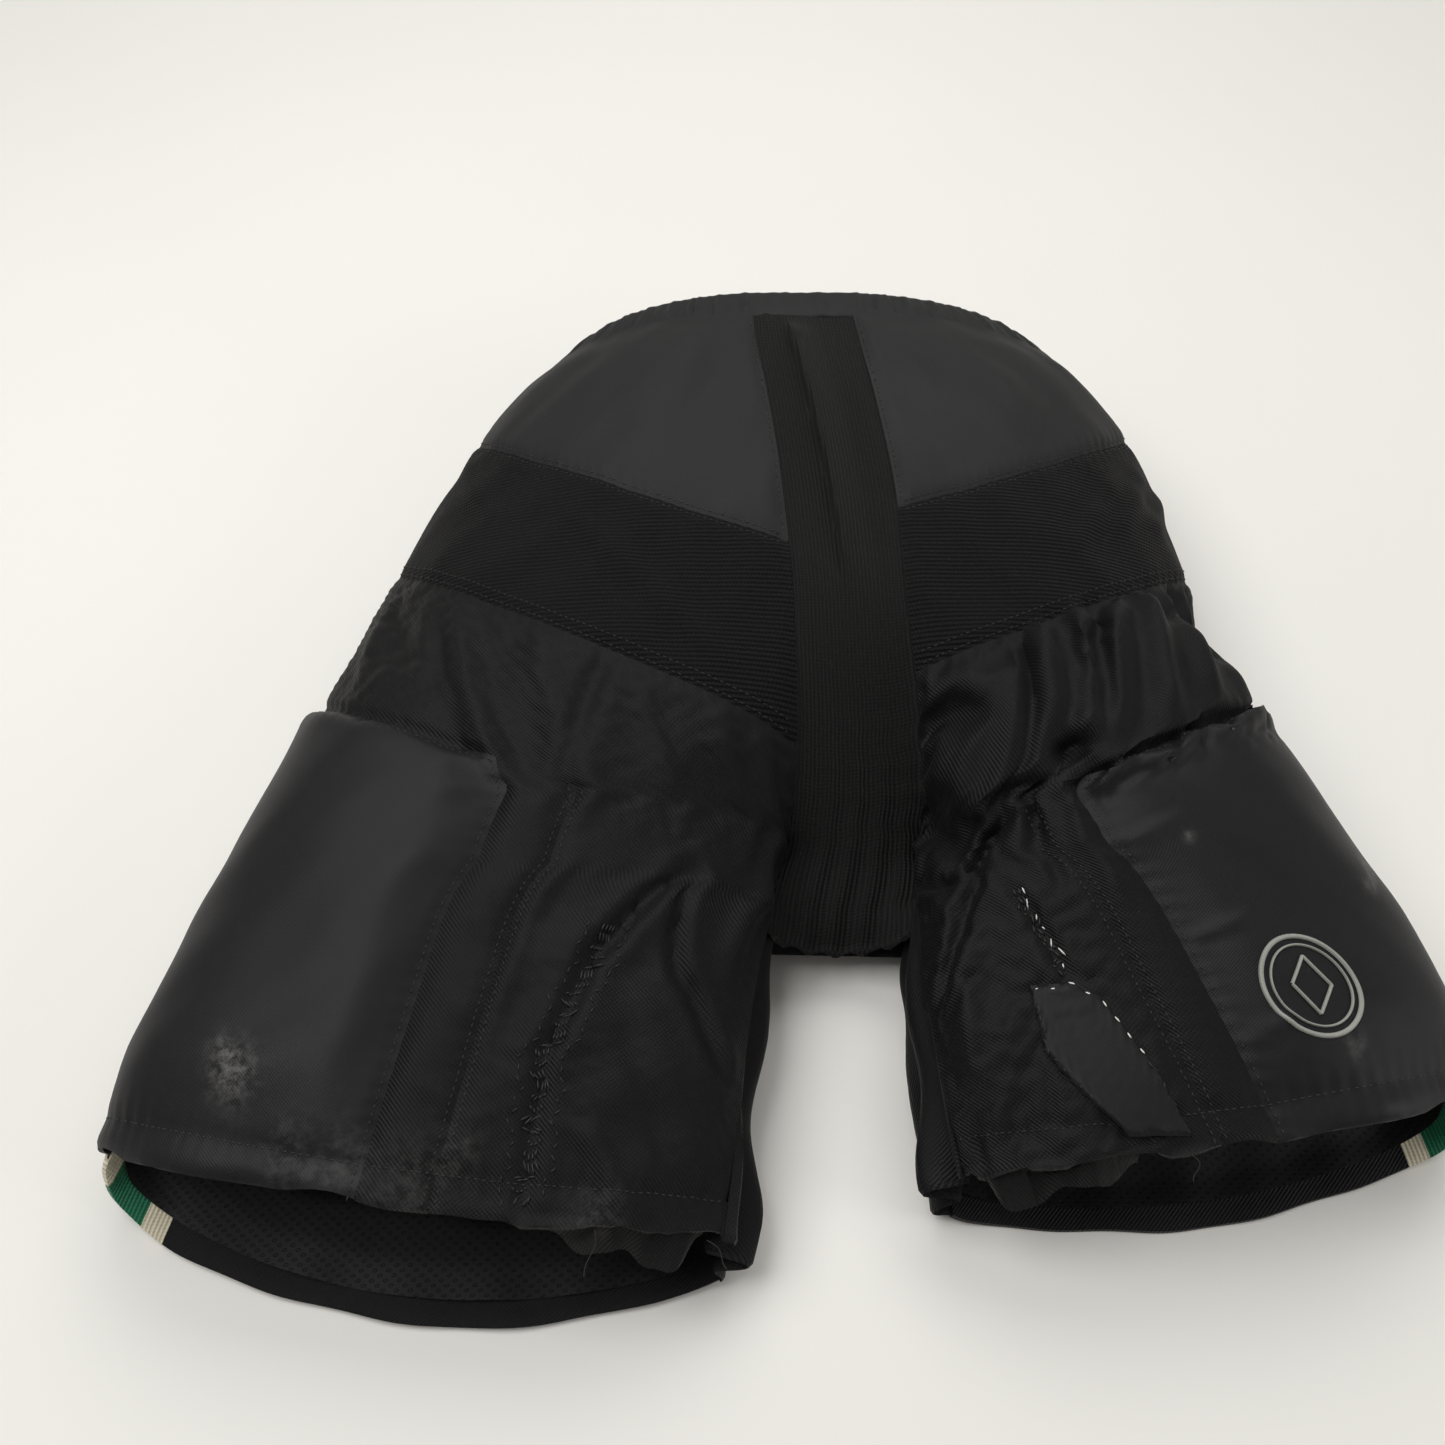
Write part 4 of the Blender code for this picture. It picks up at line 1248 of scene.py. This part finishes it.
# %% The lining
def make_liner(side, name, first, last, hem_name):
    hem, fold = cut(side, hem_name), cut(side, "fold")
    put = skin_point if first < SIDE_LINE else form_point

    def place(across, down, raised):
        line = first + (last - first) * across
        low, high = hem(line) + 0.013, fold(line) - 0.006
        y = high + (low - high) * down
        inwards = 0.0070 + 0.0105 * ease((y - low - 0.010) / 0.034)
        ripple = 0.0011 * np.sin(line * 3.1 + y / 0.02) * np.sin(y / 0.033 + line)
        lift = -inwards + ripple + raised
        points = put(side, line, y, lift)
        points[:, 2] = np.maximum(points[:, 2], 0.0035)
        return points, np.stack([line * LINE_WIDTH[side], y], axis=1), np.zeros(len(line))

    piece = laid(f"{name}_{side}_mesh", place, ((last - first) * 0.030, 0.24), "liner", 0.0008, 0.0048)
    ride(piece, f"{side}_leg", "liner", f"{name}_{side}")


for side in SIDES:
    make_liner(side, "liner_back", 0.15, 11.85, "hem_back")
    make_liner(side, "liner_front", 12.15, 23.85, "hem_front")


# %% Foam pads and moulded caps
def make_pad(name, side, first, last, top, low, depth, thickness, body, finish="foam"):
    """A pad whose edges round over, laid at its depth under the cloth."""
    first_at = border(first)

    def place(across, down, raised):
        line = first_at(down) + (last - first_at(down)) * across
        y = top(line) + (low(line) - top(line)) * down
        edge = np.minimum(np.minimum(across, 1 - across) * 0.12, np.minimum(down, 1 - down) * 0.16)
        sink = 0.002 * (1 - plateau(edge, 0.010))
        lift = -depth - sink + raised
        put = skin_point if last <= SIDE_LINE else form_point
        points = put(side, line, y, lift)
        points[:, 2] = np.maximum(points[:, 2], 0.0030)
        return points, np.stack([line * 0.028, y], axis=1), np.zeros(len(line))

    size = ((last - float(first_at(0.5))) * 0.028, float((top(np.array([8.0])) - low(np.array([8.0])))[0]))
    piece = laid(f"{name}_{side}_piece", place, size, finish, thickness, 0.0075)
    ride(piece, body, finish, f"{name}_{side}")


def shifted(edge, by):
    """A cut moved along the pants by metres."""
    return lambda line: edge(line) + by


def make_pads(side):
    waist, yoke = cut(side, "waist"), cut(side, "yoke")
    fold, hem_back, hem_front = cut(side, "fold"), cut(side, "hem_back"), cut(side, "hem_front")
    pocket = slanted(POCKET_LINES[side])
    make_pad("kidney_pad", side, 1, 6.6, shifted(waist, -0.010), shifted(yoke, 0.012), 0.0052, 0.0100, "hips")
    make_pad("hip_pad", side, 7, 11.4, shifted(waist, -0.010), shifted(yoke, 0.008), 0.0052, 0.0100, "hips")
    leg = f"{side}_leg"
    make_pad("thigh_pad", side, lambda d: pocket(d) + 0.35, 10.8, shifted(fold, -0.010),
             shifted(hem_back, 0.050), 0.0065, 0.0100, leg)
    make_pad("thigh_cap", side, 15, 22, shifted(fold, -0.012), shifted(hem_front, 0.056),
             0.0040, 0.0022, leg, "plastic")
    make_pad("front_thigh_pad", side, 15, 22, shifted(fold, -0.012), shifted(hem_front, 0.056),
             0.0066, 0.0090, leg)


for side in SIDES:
    make_pads(side)


def make_tail_pad():
    def place(across, down, raised):
        y = 0.285 - 0.185 * down
        crown = np.array([smooth(value, CROWN) for value in y])
        middle = np.array([smooth(value, MIDDLE) for value in y])
        edge = np.minimum(np.minimum(across, 1 - across) * 0.052, np.minimum(down, 1 - down) * 0.185)
        sink = 0.004 * (1 - plateau(edge, 0.010))
        points = np.stack([middle + (across - 0.5) * 0.052, y, crown - 0.0090 - sink + raised], axis=1)
        return points, points[:, :2], np.zeros(len(y))

    piece = laid("tail_pad_piece", place, (0.052, 0.185), "foam", 0.0105, 0.005)
    ride(piece, "hips", "foam", "tail_pad")


make_tail_pad()

# %% [markdown]
# ## Stitching
# Topstitching is what makes sewn cloth read as sewn. Each stitch is a small ellipsoid of thread lying
# along its row. A row is a path over the cloth, and the stitches of one leg or one panel are a piece.

# %% Rows of stitches
def merge(shape, part):
    """Adds one bmesh to another and frees it."""
    joined = mesh_of(part, "part")
    shape.from_mesh(joined)
    bpy.data.meshes.remove(joined)


def stitches(name, rows, finish, length=0.0030, gap=0.0012, thick=0.00042, ragged=0.0):
    """One piece with a stitch every length + gap along each row; a row is (points, normals)."""
    shape = bmesh.new()
    count = 0
    for points, normals in rows:
        run = np.concatenate([[0.0], np.cumsum(np.linalg.norm(np.diff(points, axis=0), axis=1))])
        starts = np.arange(length / 2, run[-1] - length / 2, length + gap)
        if not len(starts):
            continue
        part = bmesh.new()
        for number, at in enumerate(starts):
            spot, before, after, normal = (
                Vector([np.interp(where, run, values[:, axis]) for axis in range(3)])
                for where, values in (
                    (at, points), (at - length / 2, points), (at + length / 2, points), (at, normals))
            )
            along = (after - before).normalized()
            across = normal.cross(along).normalized()
            turn = ragged * math.sin(number * 2.3 + at * 40.0)
            along, across = (along + across * turn).normalized(), (across - along * turn).normalized()
            size = length / 2 * (1 + 0.6 * ragged * math.sin(number * 1.7))
            place = Matrix((along * size, across * thick, along.cross(across) * thick * 0.8)).transposed()
            bmesh.ops.create_icosphere(
                part, subdivisions=1, radius=1.0, matrix=Matrix.Translation(spot) @ place.to_4x4())
            count += 1
        merge(shape, part)
    bmesh.ops.recalc_face_normals(shape, faces=shape.faces[:])
    mesh = mesh_of(shape, name)
    mesh.shade_smooth()
    print(f"{name}: {count} stitches")
    return new_piece(name, mesh, finish)


def row_on(side, line, y, lift=0.0002):
    """A row over the cloth through arrays of lines and y, with its normals."""
    low = cloth_point(side, line, y, np.full_like(line, lift))
    high = cloth_point(side, line, y, np.full_like(line, lift + 0.002))
    return low, unit(high - low)


def along_cut(side, name, first, last, by, count=160):
    line = np.linspace(first, last, count)
    return row_on(side, line, cut(side, name)(line) + by)


def down_lines(side, lines, top_name, low_name, by, high=0.0, low=0.0, count=120):
    """A row down the panel beside a slanted border, by metres to the outer side of it."""
    down = np.linspace(0.0, 1.0, count)
    line = slanted(lines)(down) + by / LINE_WIDTH[side]
    top, bottom = cut(side, top_name)(line) + high, cut(side, low_name)(line) + low
    return row_on(side, line, top + (bottom - top) * down)


def make_stitching(side):
    leg = f"{side}_leg"
    hips = [along_cut(side, "yoke", 0.2, 11.8, 0.0032), along_cut(side, "yoke", 12.2, 23.8, 0.0032)]
    hips.append(down_lines(side, (0.0, 0.0), "waist", "yoke", 0.0032, -0.004, 0.004))
    ride(stitches(f"yoke_stitching_{side}", hips, "black thread"), "hips", "black thread")
    bands = [along_cut(side, "band", 0.2, 11.8, by) for by in (0.0030, 0.0095)]
    bands.append(along_cut(side, "yoke", 0.2, 11.8, -0.0030))
    bands += [along_cut(side, "band", 12.2, 23.8, by) for by in (0.0030, 0.0095)]
    sewn = stitches(f"band_stitching_{side}", bands, "black thread")
    blend_cloth(sewn, side, "hips", "seat", "black thread")
    hem = HEM_TURN + 0.001
    channel, pocket = CHANNEL_LINES[side], POCKET_LINES[side]
    legs = [
        along_cut(side, "hem_back", 0.1, 11.9, hem),
        along_cut(side, "hem_front", 12.1, 23.9, hem),
        down_lines(side, channel, "fold", "hem_back", 0.0030, -0.002, 0.002),
        down_lines(side, channel, "fold", "hem_back", -0.0030, -0.002, 0.002),
        down_lines(side, pocket, "fold", "hem_back", 0.0032, -0.002, 0.002),
        down_lines(side, (12.0, 12.0), "fold", "hem_back", -0.0034, -0.002, 0.002),
        along_cut(side, "fold", pocket[0] + 0.1, 11.9, -0.0032),
    ]
    ride(stitches(f"leg_stitching_{side}", legs, "black thread"), leg, "black thread")


for side in SIDES:
    make_stitching(side)

# %% [markdown]
# ## The mending patch, the darning and the badge
# The right leg has a patch of smoother cloth sewn on by hand with running stitches, and the left leg a
# long tear that was pulled together with black thread. On the right pocket is an embroidered badge,
# here a plain round one of our own: two rings and a diamond in grey thread.

# %% The patch and the hand stitches
def make_patch():
    """A patch of plain cloth over the smoothed skin, with its edge sewn by hand."""
    outline = ((0.10, 0.00), (0.62, 0.00), (0.86, 0.12), (1.00, 0.55),
               (1.00, 0.96), (0.45, 1.00), (0.20, 0.72), (0.0, 0.45))
    first, last, top, low = (1.95, 2.4), (3.55, 4.45), -0.182, -0.262

    def line_y(u, v):
        left_line = first[0] + (first[1] - first[0]) * v
        return left_line + (last[0] + (last[1] - last[0]) * v - left_line) * u, top + (low - top) * v

    def place(across, down, raised):
        start = np.interp(down, (0.0, 0.45, 0.72, 1.0), (0.10, 0.0, 0.20, 0.45))
        end = np.interp(down, (0.0, 0.12, 0.55, 1.0), (0.62, 0.86, 1.0, 1.0))
        line, y = line_y(start + (end - start) * across, down)
        gap = np.minimum(np.minimum(across, 1 - across) * 0.045, np.minimum(down, 1 - down) * 0.080)
        pucker = 0.00035 * np.sin((across + down) * 60.0) * np.exp(-((gap / 0.006) ** 2))
        lift = 0.0004 + 0.0020 * plateau(gap, 0.004) + pucker + raised
        uvs = np.stack([line * 0.026, y], axis=1)
        around = [(a, b) for a in (-0.40, -0.2, 0.0, 0.2, 0.40) for b in (-0.008, 0.0, 0.008)]
        share = np.clip(gap / 0.010, 0.0, 1.0)
        points = sum(skin_point("right", line + a * share, y + b * share, lift) for a, b in around)
        points = points / len(around)
        return points, uvs, 0.25 * np.exp(-((gap / 0.004) ** 2))

    piece = laid("mending_patch_cloth", place, (0.045, 0.080), "patch", 0.0009, 0.0015)
    ride(piece, "right_leg", "patch", "mending_patch")

    def outline_row(corner_list, by):
        numbers, steps = range(len(corner_list)), np.linspace(0, len(corner_list) - 1, 90)
        u, v = (np.interp(steps, numbers, [outline[k][axis] for k in corner_list]) for axis in (0, 1))
        row_line, row_y = line_y(0.5 + (u - 0.5) * by, 0.5 + (v - 0.5) * by)
        return row_on("right", row_line, row_y, 0.0022)

    for name, corners, by, finish, size in (
        ("patch_running_stitch", (0, 1, 2, 3), 0.94, "white thread", (0.0042, 0.0060, 0.00050, 0.12)),
        ("patch_whip_stitch", (3, 4, 5, 6, 7, 0), 0.93, "black thread", (0.0045, 0.0018, 0.00055, 0.5)),
    ):
        ride(stitches(name, [outline_row(corners, by)], finish, *size), "right_leg", finish)


make_patch()


# %% The darned tears
TEARS = {
    "left": ((3.0, -0.150), (3.25, -0.185), (3.6, -0.225), (3.5, -0.255), (3.4, -0.296)),
    "right": ((2.3, -0.128), (2.45, -0.145), (2.75, -0.165), (2.85, -0.180)),
}


def tear(name, side, shifts, finish, *size):
    """Thread laid to and fro across a tear. size is its length, gap, thickness and raggedness."""
    path = TEARS[side]
    steps = np.linspace(0, len(path) - 1, 120)
    line, y = (np.interp(steps, range(len(path)), [p[axis] for p in path]) for axis in (0, 1))
    line = line + 0.05 * np.sin(steps * 7.0) + 0.04 * np.sin(steps * 17.0 + 1.0)
    rows = [row_on(side, line + shift / LINE_WIDTH[side], y, 0.0006) for shift in shifts]
    ride(stitches(name, rows, finish, *size), f"{side}_leg", finish)


tear("darning_left", "left", (-0.0022, -0.0005, 0.0014, 0.0034), "black thread",
     0.0052, 0.0012, 0.00060, 0.9)
tear("darning_edge_left", "left", (-0.0105, 0.0110), "black thread", 0.0040, 0.0022, 0.00042, 0.5)
tear("darning_right", "right", (-0.0016, 0.0012), "black thread", 0.0050, 0.0010, 0.00062, 0.9)
tear("hand_stitch_right", "right", (0.0036,), "white thread", 0.0048, 0.0052, 0.00048, 0.9)

# %% [markdown]
# Where a hem has come undone, at the inner corner of each leg, its edge and the lining under it hang
# out in small folds, with short ends of thread. The folds are one more grid, with soft waves.

# %% The loose hem corners
def make_tuck(side, first, last, drop):
    """The undone end of the hem and lining at the inner corner, hanging out in folds."""
    hem = cut(side, "hem_back")

    def place(across, down, raised):
        line = first + (last - first) * across
        swing = np.sin(across * 11.0 + down * 1.5) + 0.35 * np.sin(across * 27.0 + 1.0)
        fade = ease(across / 0.12) * ease((1 - across) / 0.35)
        uneven = 0.8 + 0.2 * np.sin(across * 7.0 + 1.0)
        y = hem(line) + 0.014 - (0.010 + (0.004 + drop) * fade * uneven) * down
        lift = -0.0075 - 0.016 * down * down + 0.0045 * swing * (0.3 + down) + raised
        points = skin_point(side, line, np.maximum(y, hem(line) + 0.001), lift)
        points[:, 1] = y + 0.0012 * swing * down
        points[:, 2] = np.maximum(points[:, 2], 0.004)
        return points, np.stack([line * 0.03, y], axis=1), 0.4 * down

    size = ((last - first) * 0.030, 0.035)
    ride(laid(f"hem_corner_{side}", place, size, "twill", 0.0010, 0.0022), f"{side}_leg", "twill")


def make_thread_end(name, side, line, sideways, length):
    """A short end of thread that curls out of the hem."""
    start = Vector(skin_point(side, np.array([line]), cut(side, "hem_back")(np.array([line])), -0.002)[0])
    curve = bpy.data.curves.new(name, "CURVE")
    curve.dimensions, curve.bevel_depth, curve.bevel_resolution = "3D", 0.00022, 1
    spline = curve.splines.new("POLY")
    spline.points.add(11)
    for k, point in enumerate(spline.points):
        t = k / 11
        point.co = (start.x + sideways * t + 0.002 * math.sin(t * 5), start.y - length * t * 0.8,
                    max(start.z - length * 0.9 * t * t, 0.0006), 1.0)
    made = new_piece(name, curve, "black thread")
    ride(made, f"{side}_leg", "black thread")


make_tuck("left", 0.25, 2.9, 0.012)
make_tuck("right", 0.25, 3.6, 0.014)
make_thread_end("thread_end_left_1", "left", 0.3, 0.012, 0.014)
make_thread_end("thread_end_left_2", "left", 2.2, -0.004, 0.022)
make_thread_end("thread_end_right", "right", 4.4, 0.003, 0.012)


# %% The badge
def make_badge():
    """Raised satin stitch: two rings and a diamond over the pocket."""
    centre_line, centre_y, radius = 7.35, -0.187, 0.0250

    def put(u, v, height):
        line = centre_line + np.asarray(u) / 0.0275
        return cloth_point("right", line, centre_y + np.asarray(v), 0.0003 + np.asarray(height))

    shape = bmesh.new()

    def ribbon(path_u, path_v, width, count, closed):
        """A band of satin stitch along a path, rounded across its width."""
        turn = np.linspace(0.0, 1.0, count)
        u, v = path_u(turn), path_v(turn)
        du, dv = np.gradient(u), np.gradient(v)
        if closed:
            du[0], dv[0] = du[1], dv[1]
            du[-1], dv[-1] = du[0], dv[0]
        size = np.hypot(du, dv)
        nu, nv = -dv / size, du / size
        part = bmesh.new()
        rows = 8
        bmesh.ops.create_grid(part, x_segments=count - 1, y_segments=rows, size=0.5)
        flat = np.array([(c.co.x + 0.5, c.co.y) for c in part.verts])
        k = np.rint(flat[:, 0] * (count - 1)).astype(int)
        off = flat[:, 1] * 2
        height = 0.0013 * np.sqrt(np.maximum(1 - off * off, 0.0))
        points = put(u[k] + nu[k] * off * width / 2, v[k] + nv[k] * off * width / 2, height)
        for corner, point in zip(part.verts, points):
            corner.co = point
        bmesh.ops.remove_doubles(part, verts=part.verts[:], dist=0.00002)
        part.normal_update()
        if sum(f.normal.z for f in part.faces) < 0:
            bmesh.ops.reverse_faces(part, faces=part.faces[:])
        merge(shape, part)

    for size, width in ((1.0, 0.0026), (0.82, 0.0013)):
        ribbon(lambda t, s=size: radius * s * np.cos(t * 2 * math.pi),
               lambda t, s=size: radius * s * 1.06 * np.sin(t * 2 * math.pi), width, 121, True)
    diamond = ((0.0, 0.62), (0.42, 0.0), (0.0, -0.62), (-0.42, 0.0), (0.0, 0.62))
    for a, b in zip(diamond, diamond[1:]):
        ribbon(lambda t, a=a, b=b: radius * (a[0] + (b[0] - a[0]) * t),
               lambda t, a=a, b=b: radius * (a[1] + (b[1] - a[1]) * t), 0.0018, 24, False)
    mesh = mesh_of(shape, "badge_embroidery")
    mesh.shade_smooth()
    piece = new_piece("badge_embroidery", mesh, "badge thread")
    wall = piece.modifiers.new("thickness", "SOLIDIFY")
    wall.thickness, wall.offset = 0.0006, -1.0
    ride(settle(piece), "right_leg", "badge thread", "badge")


make_badge()

# %% [markdown]
# ## The belt, its buckle and the lace eyelets
# They are at the front, under the pants as they lie. The webbing belt comes out of the waistband at
# each side of the fly and meets in a plain frame buckle with a tongue. Two pairs of rolled metal
# eyelets beside the fly take a lace, which these pants no longer have.

# %% Belt, buckle and eyelets
def make_belt(side):
    low, high = (Vector(corner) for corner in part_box(f"belt_{side}"))
    size = high - low

    def place(across, down, raised):
        edge = np.minimum(down, 1 - down) * size.y
        x = low.x + size.x * across
        y = low.y + size.y * down
        thin = 0.0004 * (1 - plateau(edge, 0.0015))
        wave_height = 0.0003 * np.sin(x / 0.004)
        z = np.full_like(x, high.z) - thin + wave_height * 0.3 + raised
        return np.stack([x, y, z], axis=1), np.stack([x, y], axis=1), np.exp(-((edge / 0.002) ** 2)) * 0.5

    piece = laid(f"belt_{side}_webbing", place, (size.x, size.y), "webbing", size.z, 0.0015)
    ride(piece, "hips", "webbing", f"belt_{side}")


def rounded(name, finish, shape, bevel):
    made = new_piece(name, mesh_of(shape, name), finish)
    rounding = made.modifiers.new("rounding", "BEVEL")
    rounding.width, rounding.segments = bevel, 3
    rounding.limit_method = "ANGLE"
    return settle(made, 60)


def make_buckle():
    low, high = (Vector(corner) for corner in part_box("buckle_frame"))
    centre, size = (low + high) / 2, high - low
    shape = bmesh.new()
    bmesh.ops.create_grid(shape, x_segments=1, y_segments=1, size=0.5)
    bmesh.ops.scale(shape, verts=shape.verts[:], vec=(size.x, size.y, 1.0))
    bmesh.ops.bevel(shape, geom=shape.verts[:], offset=0.004, segments=6, profile=0.5,
                    affect="VERTICES", material=-1)
    ring = bmesh.ops.inset_region(
        shape, faces=shape.faces[:], thickness=0.0032, use_boundary=True, use_even_offset=True)
    bmesh.ops.delete(shape, geom=[f for f in shape.faces if f not in ring["faces"]], context="FACES")
    raised = bmesh.ops.extrude_face_region(shape, geom=shape.faces[:])
    verts = [e for e in raised["geom"] if isinstance(e, bmesh.types.BMVert)]
    bmesh.ops.translate(shape, verts=verts, vec=(0.0, 0.0, size.z))
    bmesh.ops.translate(shape, verts=shape.verts[:], vec=(centre.x, centre.y, low.z))
    bmesh.ops.recalc_face_normals(shape, faces=shape.faces[:])
    ride(rounded("buckle_frame_plated", "steel", shape, 0.0007), "hips", "steel", "buckle_frame")
    low, high = (Vector(corner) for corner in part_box("buckle_tongue"))
    centre, size = (low + high) / 2, high - low
    tongue = bmesh.new()
    bmesh.ops.create_cube(tongue, size=1.0)
    bmesh.ops.scale(tongue, verts=tongue.verts[:], vec=size)
    bmesh.ops.subdivide_edges(tongue, edges=tongue.edges[:], cuts=5, use_grid_fill=True)
    for corner in tongue.verts:
        share = corner.co.x / size.x + 0.5
        corner.co.y *= 1.0 - 0.45 * share
        corner.co.z += 0.0005 * math.sin(share * math.pi)
    bmesh.ops.translate(tongue, verts=tongue.verts[:], vec=centre)
    ride(rounded("buckle_tongue_plated", "steel", tongue, 0.0004), "buckle_tongue", "steel", "buckle_tongue")


def make_eyelet(node):
    """A rolled eyelet: a ring spun from a flattened half round."""
    low, high = (Vector(corner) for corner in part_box(node))
    centre, outer = (low + high) / 2, (high.x - low.x) / 2
    shape = bmesh.new()
    bmesh.ops.create_circle(shape, segments=12, radius=0.0012)
    bmesh.ops.rotate(shape, verts=shape.verts[:], cent=(0, 0, 0), matrix=Matrix.Rotation(math.pi / 2, 3, "X"))
    bmesh.ops.scale(shape, verts=shape.verts[:], vec=(1.25, 1.0, 0.75))
    bmesh.ops.translate(shape, verts=shape.verts[:], vec=(outer - 0.0015, 0.0, 0.0))
    bmesh.ops.spin(shape, geom=shape.verts[:] + shape.edges[:], cent=(0, 0, 0), axis=(0, 0, 1),
                   angle=2 * math.pi, steps=32, use_merge=True)
    bmesh.ops.remove_doubles(shape, verts=shape.verts[:], dist=0.00001)
    bmesh.ops.translate(shape, verts=shape.verts[:], vec=centre)
    bmesh.ops.recalc_face_normals(shape, faces=shape.faces[:])
    name = f"{node}_ring"
    ride(settle(new_piece(name, mesh_of(shape, name), "steel")), "hips", "steel", node)


for side in SIDES:
    make_belt(side)
    for row in (1, 2):
        make_eyelet(f"eyelet_{side}_{row}")
make_buckle()

# %% [markdown]
# ## The floor, the light and the camera
# The pants lie on a pale floor in a bright room. A wide window light above and behind gives the cloth
# its dull shine from the top, a ceiling light on the left and a weak one from a doorway on the right
# open its shadows, and the pale surroundings fill the rest.

# %% The set
def make_floor():
    """A floor that sweeps up into a wall all round, so that the background is plain from any side."""
    shape = bmesh.new()
    reach, bend, height = 3.6, 1.2, 4.0
    rim = [(reach + bend * math.sin(a), bend * (1 - math.cos(a))) for a in np.linspace(0, math.pi / 2, 9)]
    profile = [shape.verts.new((x, 0.0, z)) for x, z in [(0.001, 0.0), *rim, (reach + bend, height)]]
    edges = [shape.edges.new(pair) for pair in zip(profile, profile[1:])]
    bmesh.ops.spin(shape, geom=profile + edges, cent=(0, 0, 0), axis=(0, 0, 1),
                   angle=2 * math.pi, steps=64, use_merge=True)
    bmesh.ops.holes_fill(shape, edges=[edge for edge in shape.edges if edge.is_boundary
                                       and edge.verts[0].co.z < 0.1], sides=80)
    bmesh.ops.translate(shape, verts=shape.verts[:], vec=(0.0, 0.2, -0.0004))
    bmesh.ops.recalc_face_normals(shape, faces=shape.faces[:])
    mesh = mesh_of(shape, "floor")
    mesh.shade_smooth()
    floor = bpy.data.objects.new("floor", mesh)
    bpy.context.scene.collection.objects.link(floor)
    made, tree, shader = new_material("pale painted board")
    spot = add(tree, "ShaderNodeTexCoord").outputs["Object"]
    clouds = add(tree, NOISE, {"Scale": 1.6, "Detail": 2.0}, {"Vector": spot})
    colour = add(tree, "ShaderNodeMix", {"data_type": "RGBA", 6: linear("#e2e1dd"), 7: linear("#e9e7e3")},
                 {0: clouds.outputs["Fac"]})
    tree.links.new(colour.outputs[2], shader.inputs["Base Color"])
    shader.inputs["Roughness"].default_value = 0.62
    shader.inputs["Specular IOR Level"].default_value = 0.25
    mesh.materials.append(made)


def area_light(name, place, aim, size, power, colour):
    light = bpy.data.lights.new(name, "AREA")
    light.shape, light.size, light.size_y = "RECTANGLE", size[0], size[1]
    light.energy, light.color = power, colour
    made = bpy.data.objects.new(name, light)
    made.location = place
    made.rotation_euler = (Vector(aim) - Vector(place)).to_track_quat("-Z", "Y").to_euler()
    bpy.context.scene.collection.objects.link(made)


def make_set():
    make_floor()
    centre = (Vector(cad_box[0]) + Vector(cad_box[1])) / 2
    area_light("window", (0.25, 1.5, 1.9), centre, (2.4, 1.2), 25, (1.0, 0.99, 0.97))
    area_light("ceiling", (-0.9, 0.0, 1.9), centre, (1.3, 1.3), 26, (1.0, 0.99, 0.98))
    area_light("doorway", (1.7, -0.5, 0.9), centre, (0.7, 0.9), 7, (1.0, 0.99, 0.98))
    world = bpy.data.worlds.new("room")
    bpy.context.scene.world = world
    world.use_nodes = True
    world.node_tree.nodes["Background"].inputs["Color"].default_value = linear("#efeeec")
    world.node_tree.nodes["Background"].inputs["Strength"].default_value = 0.38
    bpy.context.scene.view_settings.view_transform = "Standard"


def make_camera():
    """The camera looks down at 55 degrees from beyond the hems, a little left of the middle."""
    camera = bpy.data.objects.new("camera", bpy.data.cameras.new("camera"))
    middle = (cad_box[0][0] + cad_box[1][0]) / 2
    camera.location = (middle - 0.0389, -0.4815, 0.775)
    camera.rotation_euler = (math.radians(35), 0.0, 0.0)
    camera.data.lens, camera.data.sensor_width = 33.33, 36.0
    bpy.context.scene.collection.objects.link(camera)
    bpy.context.scene.camera = camera


make_set()
make_camera()

# %% Sizes and the end
print("cad", [[round(v * 1000) for v in c] for c in cad_box])
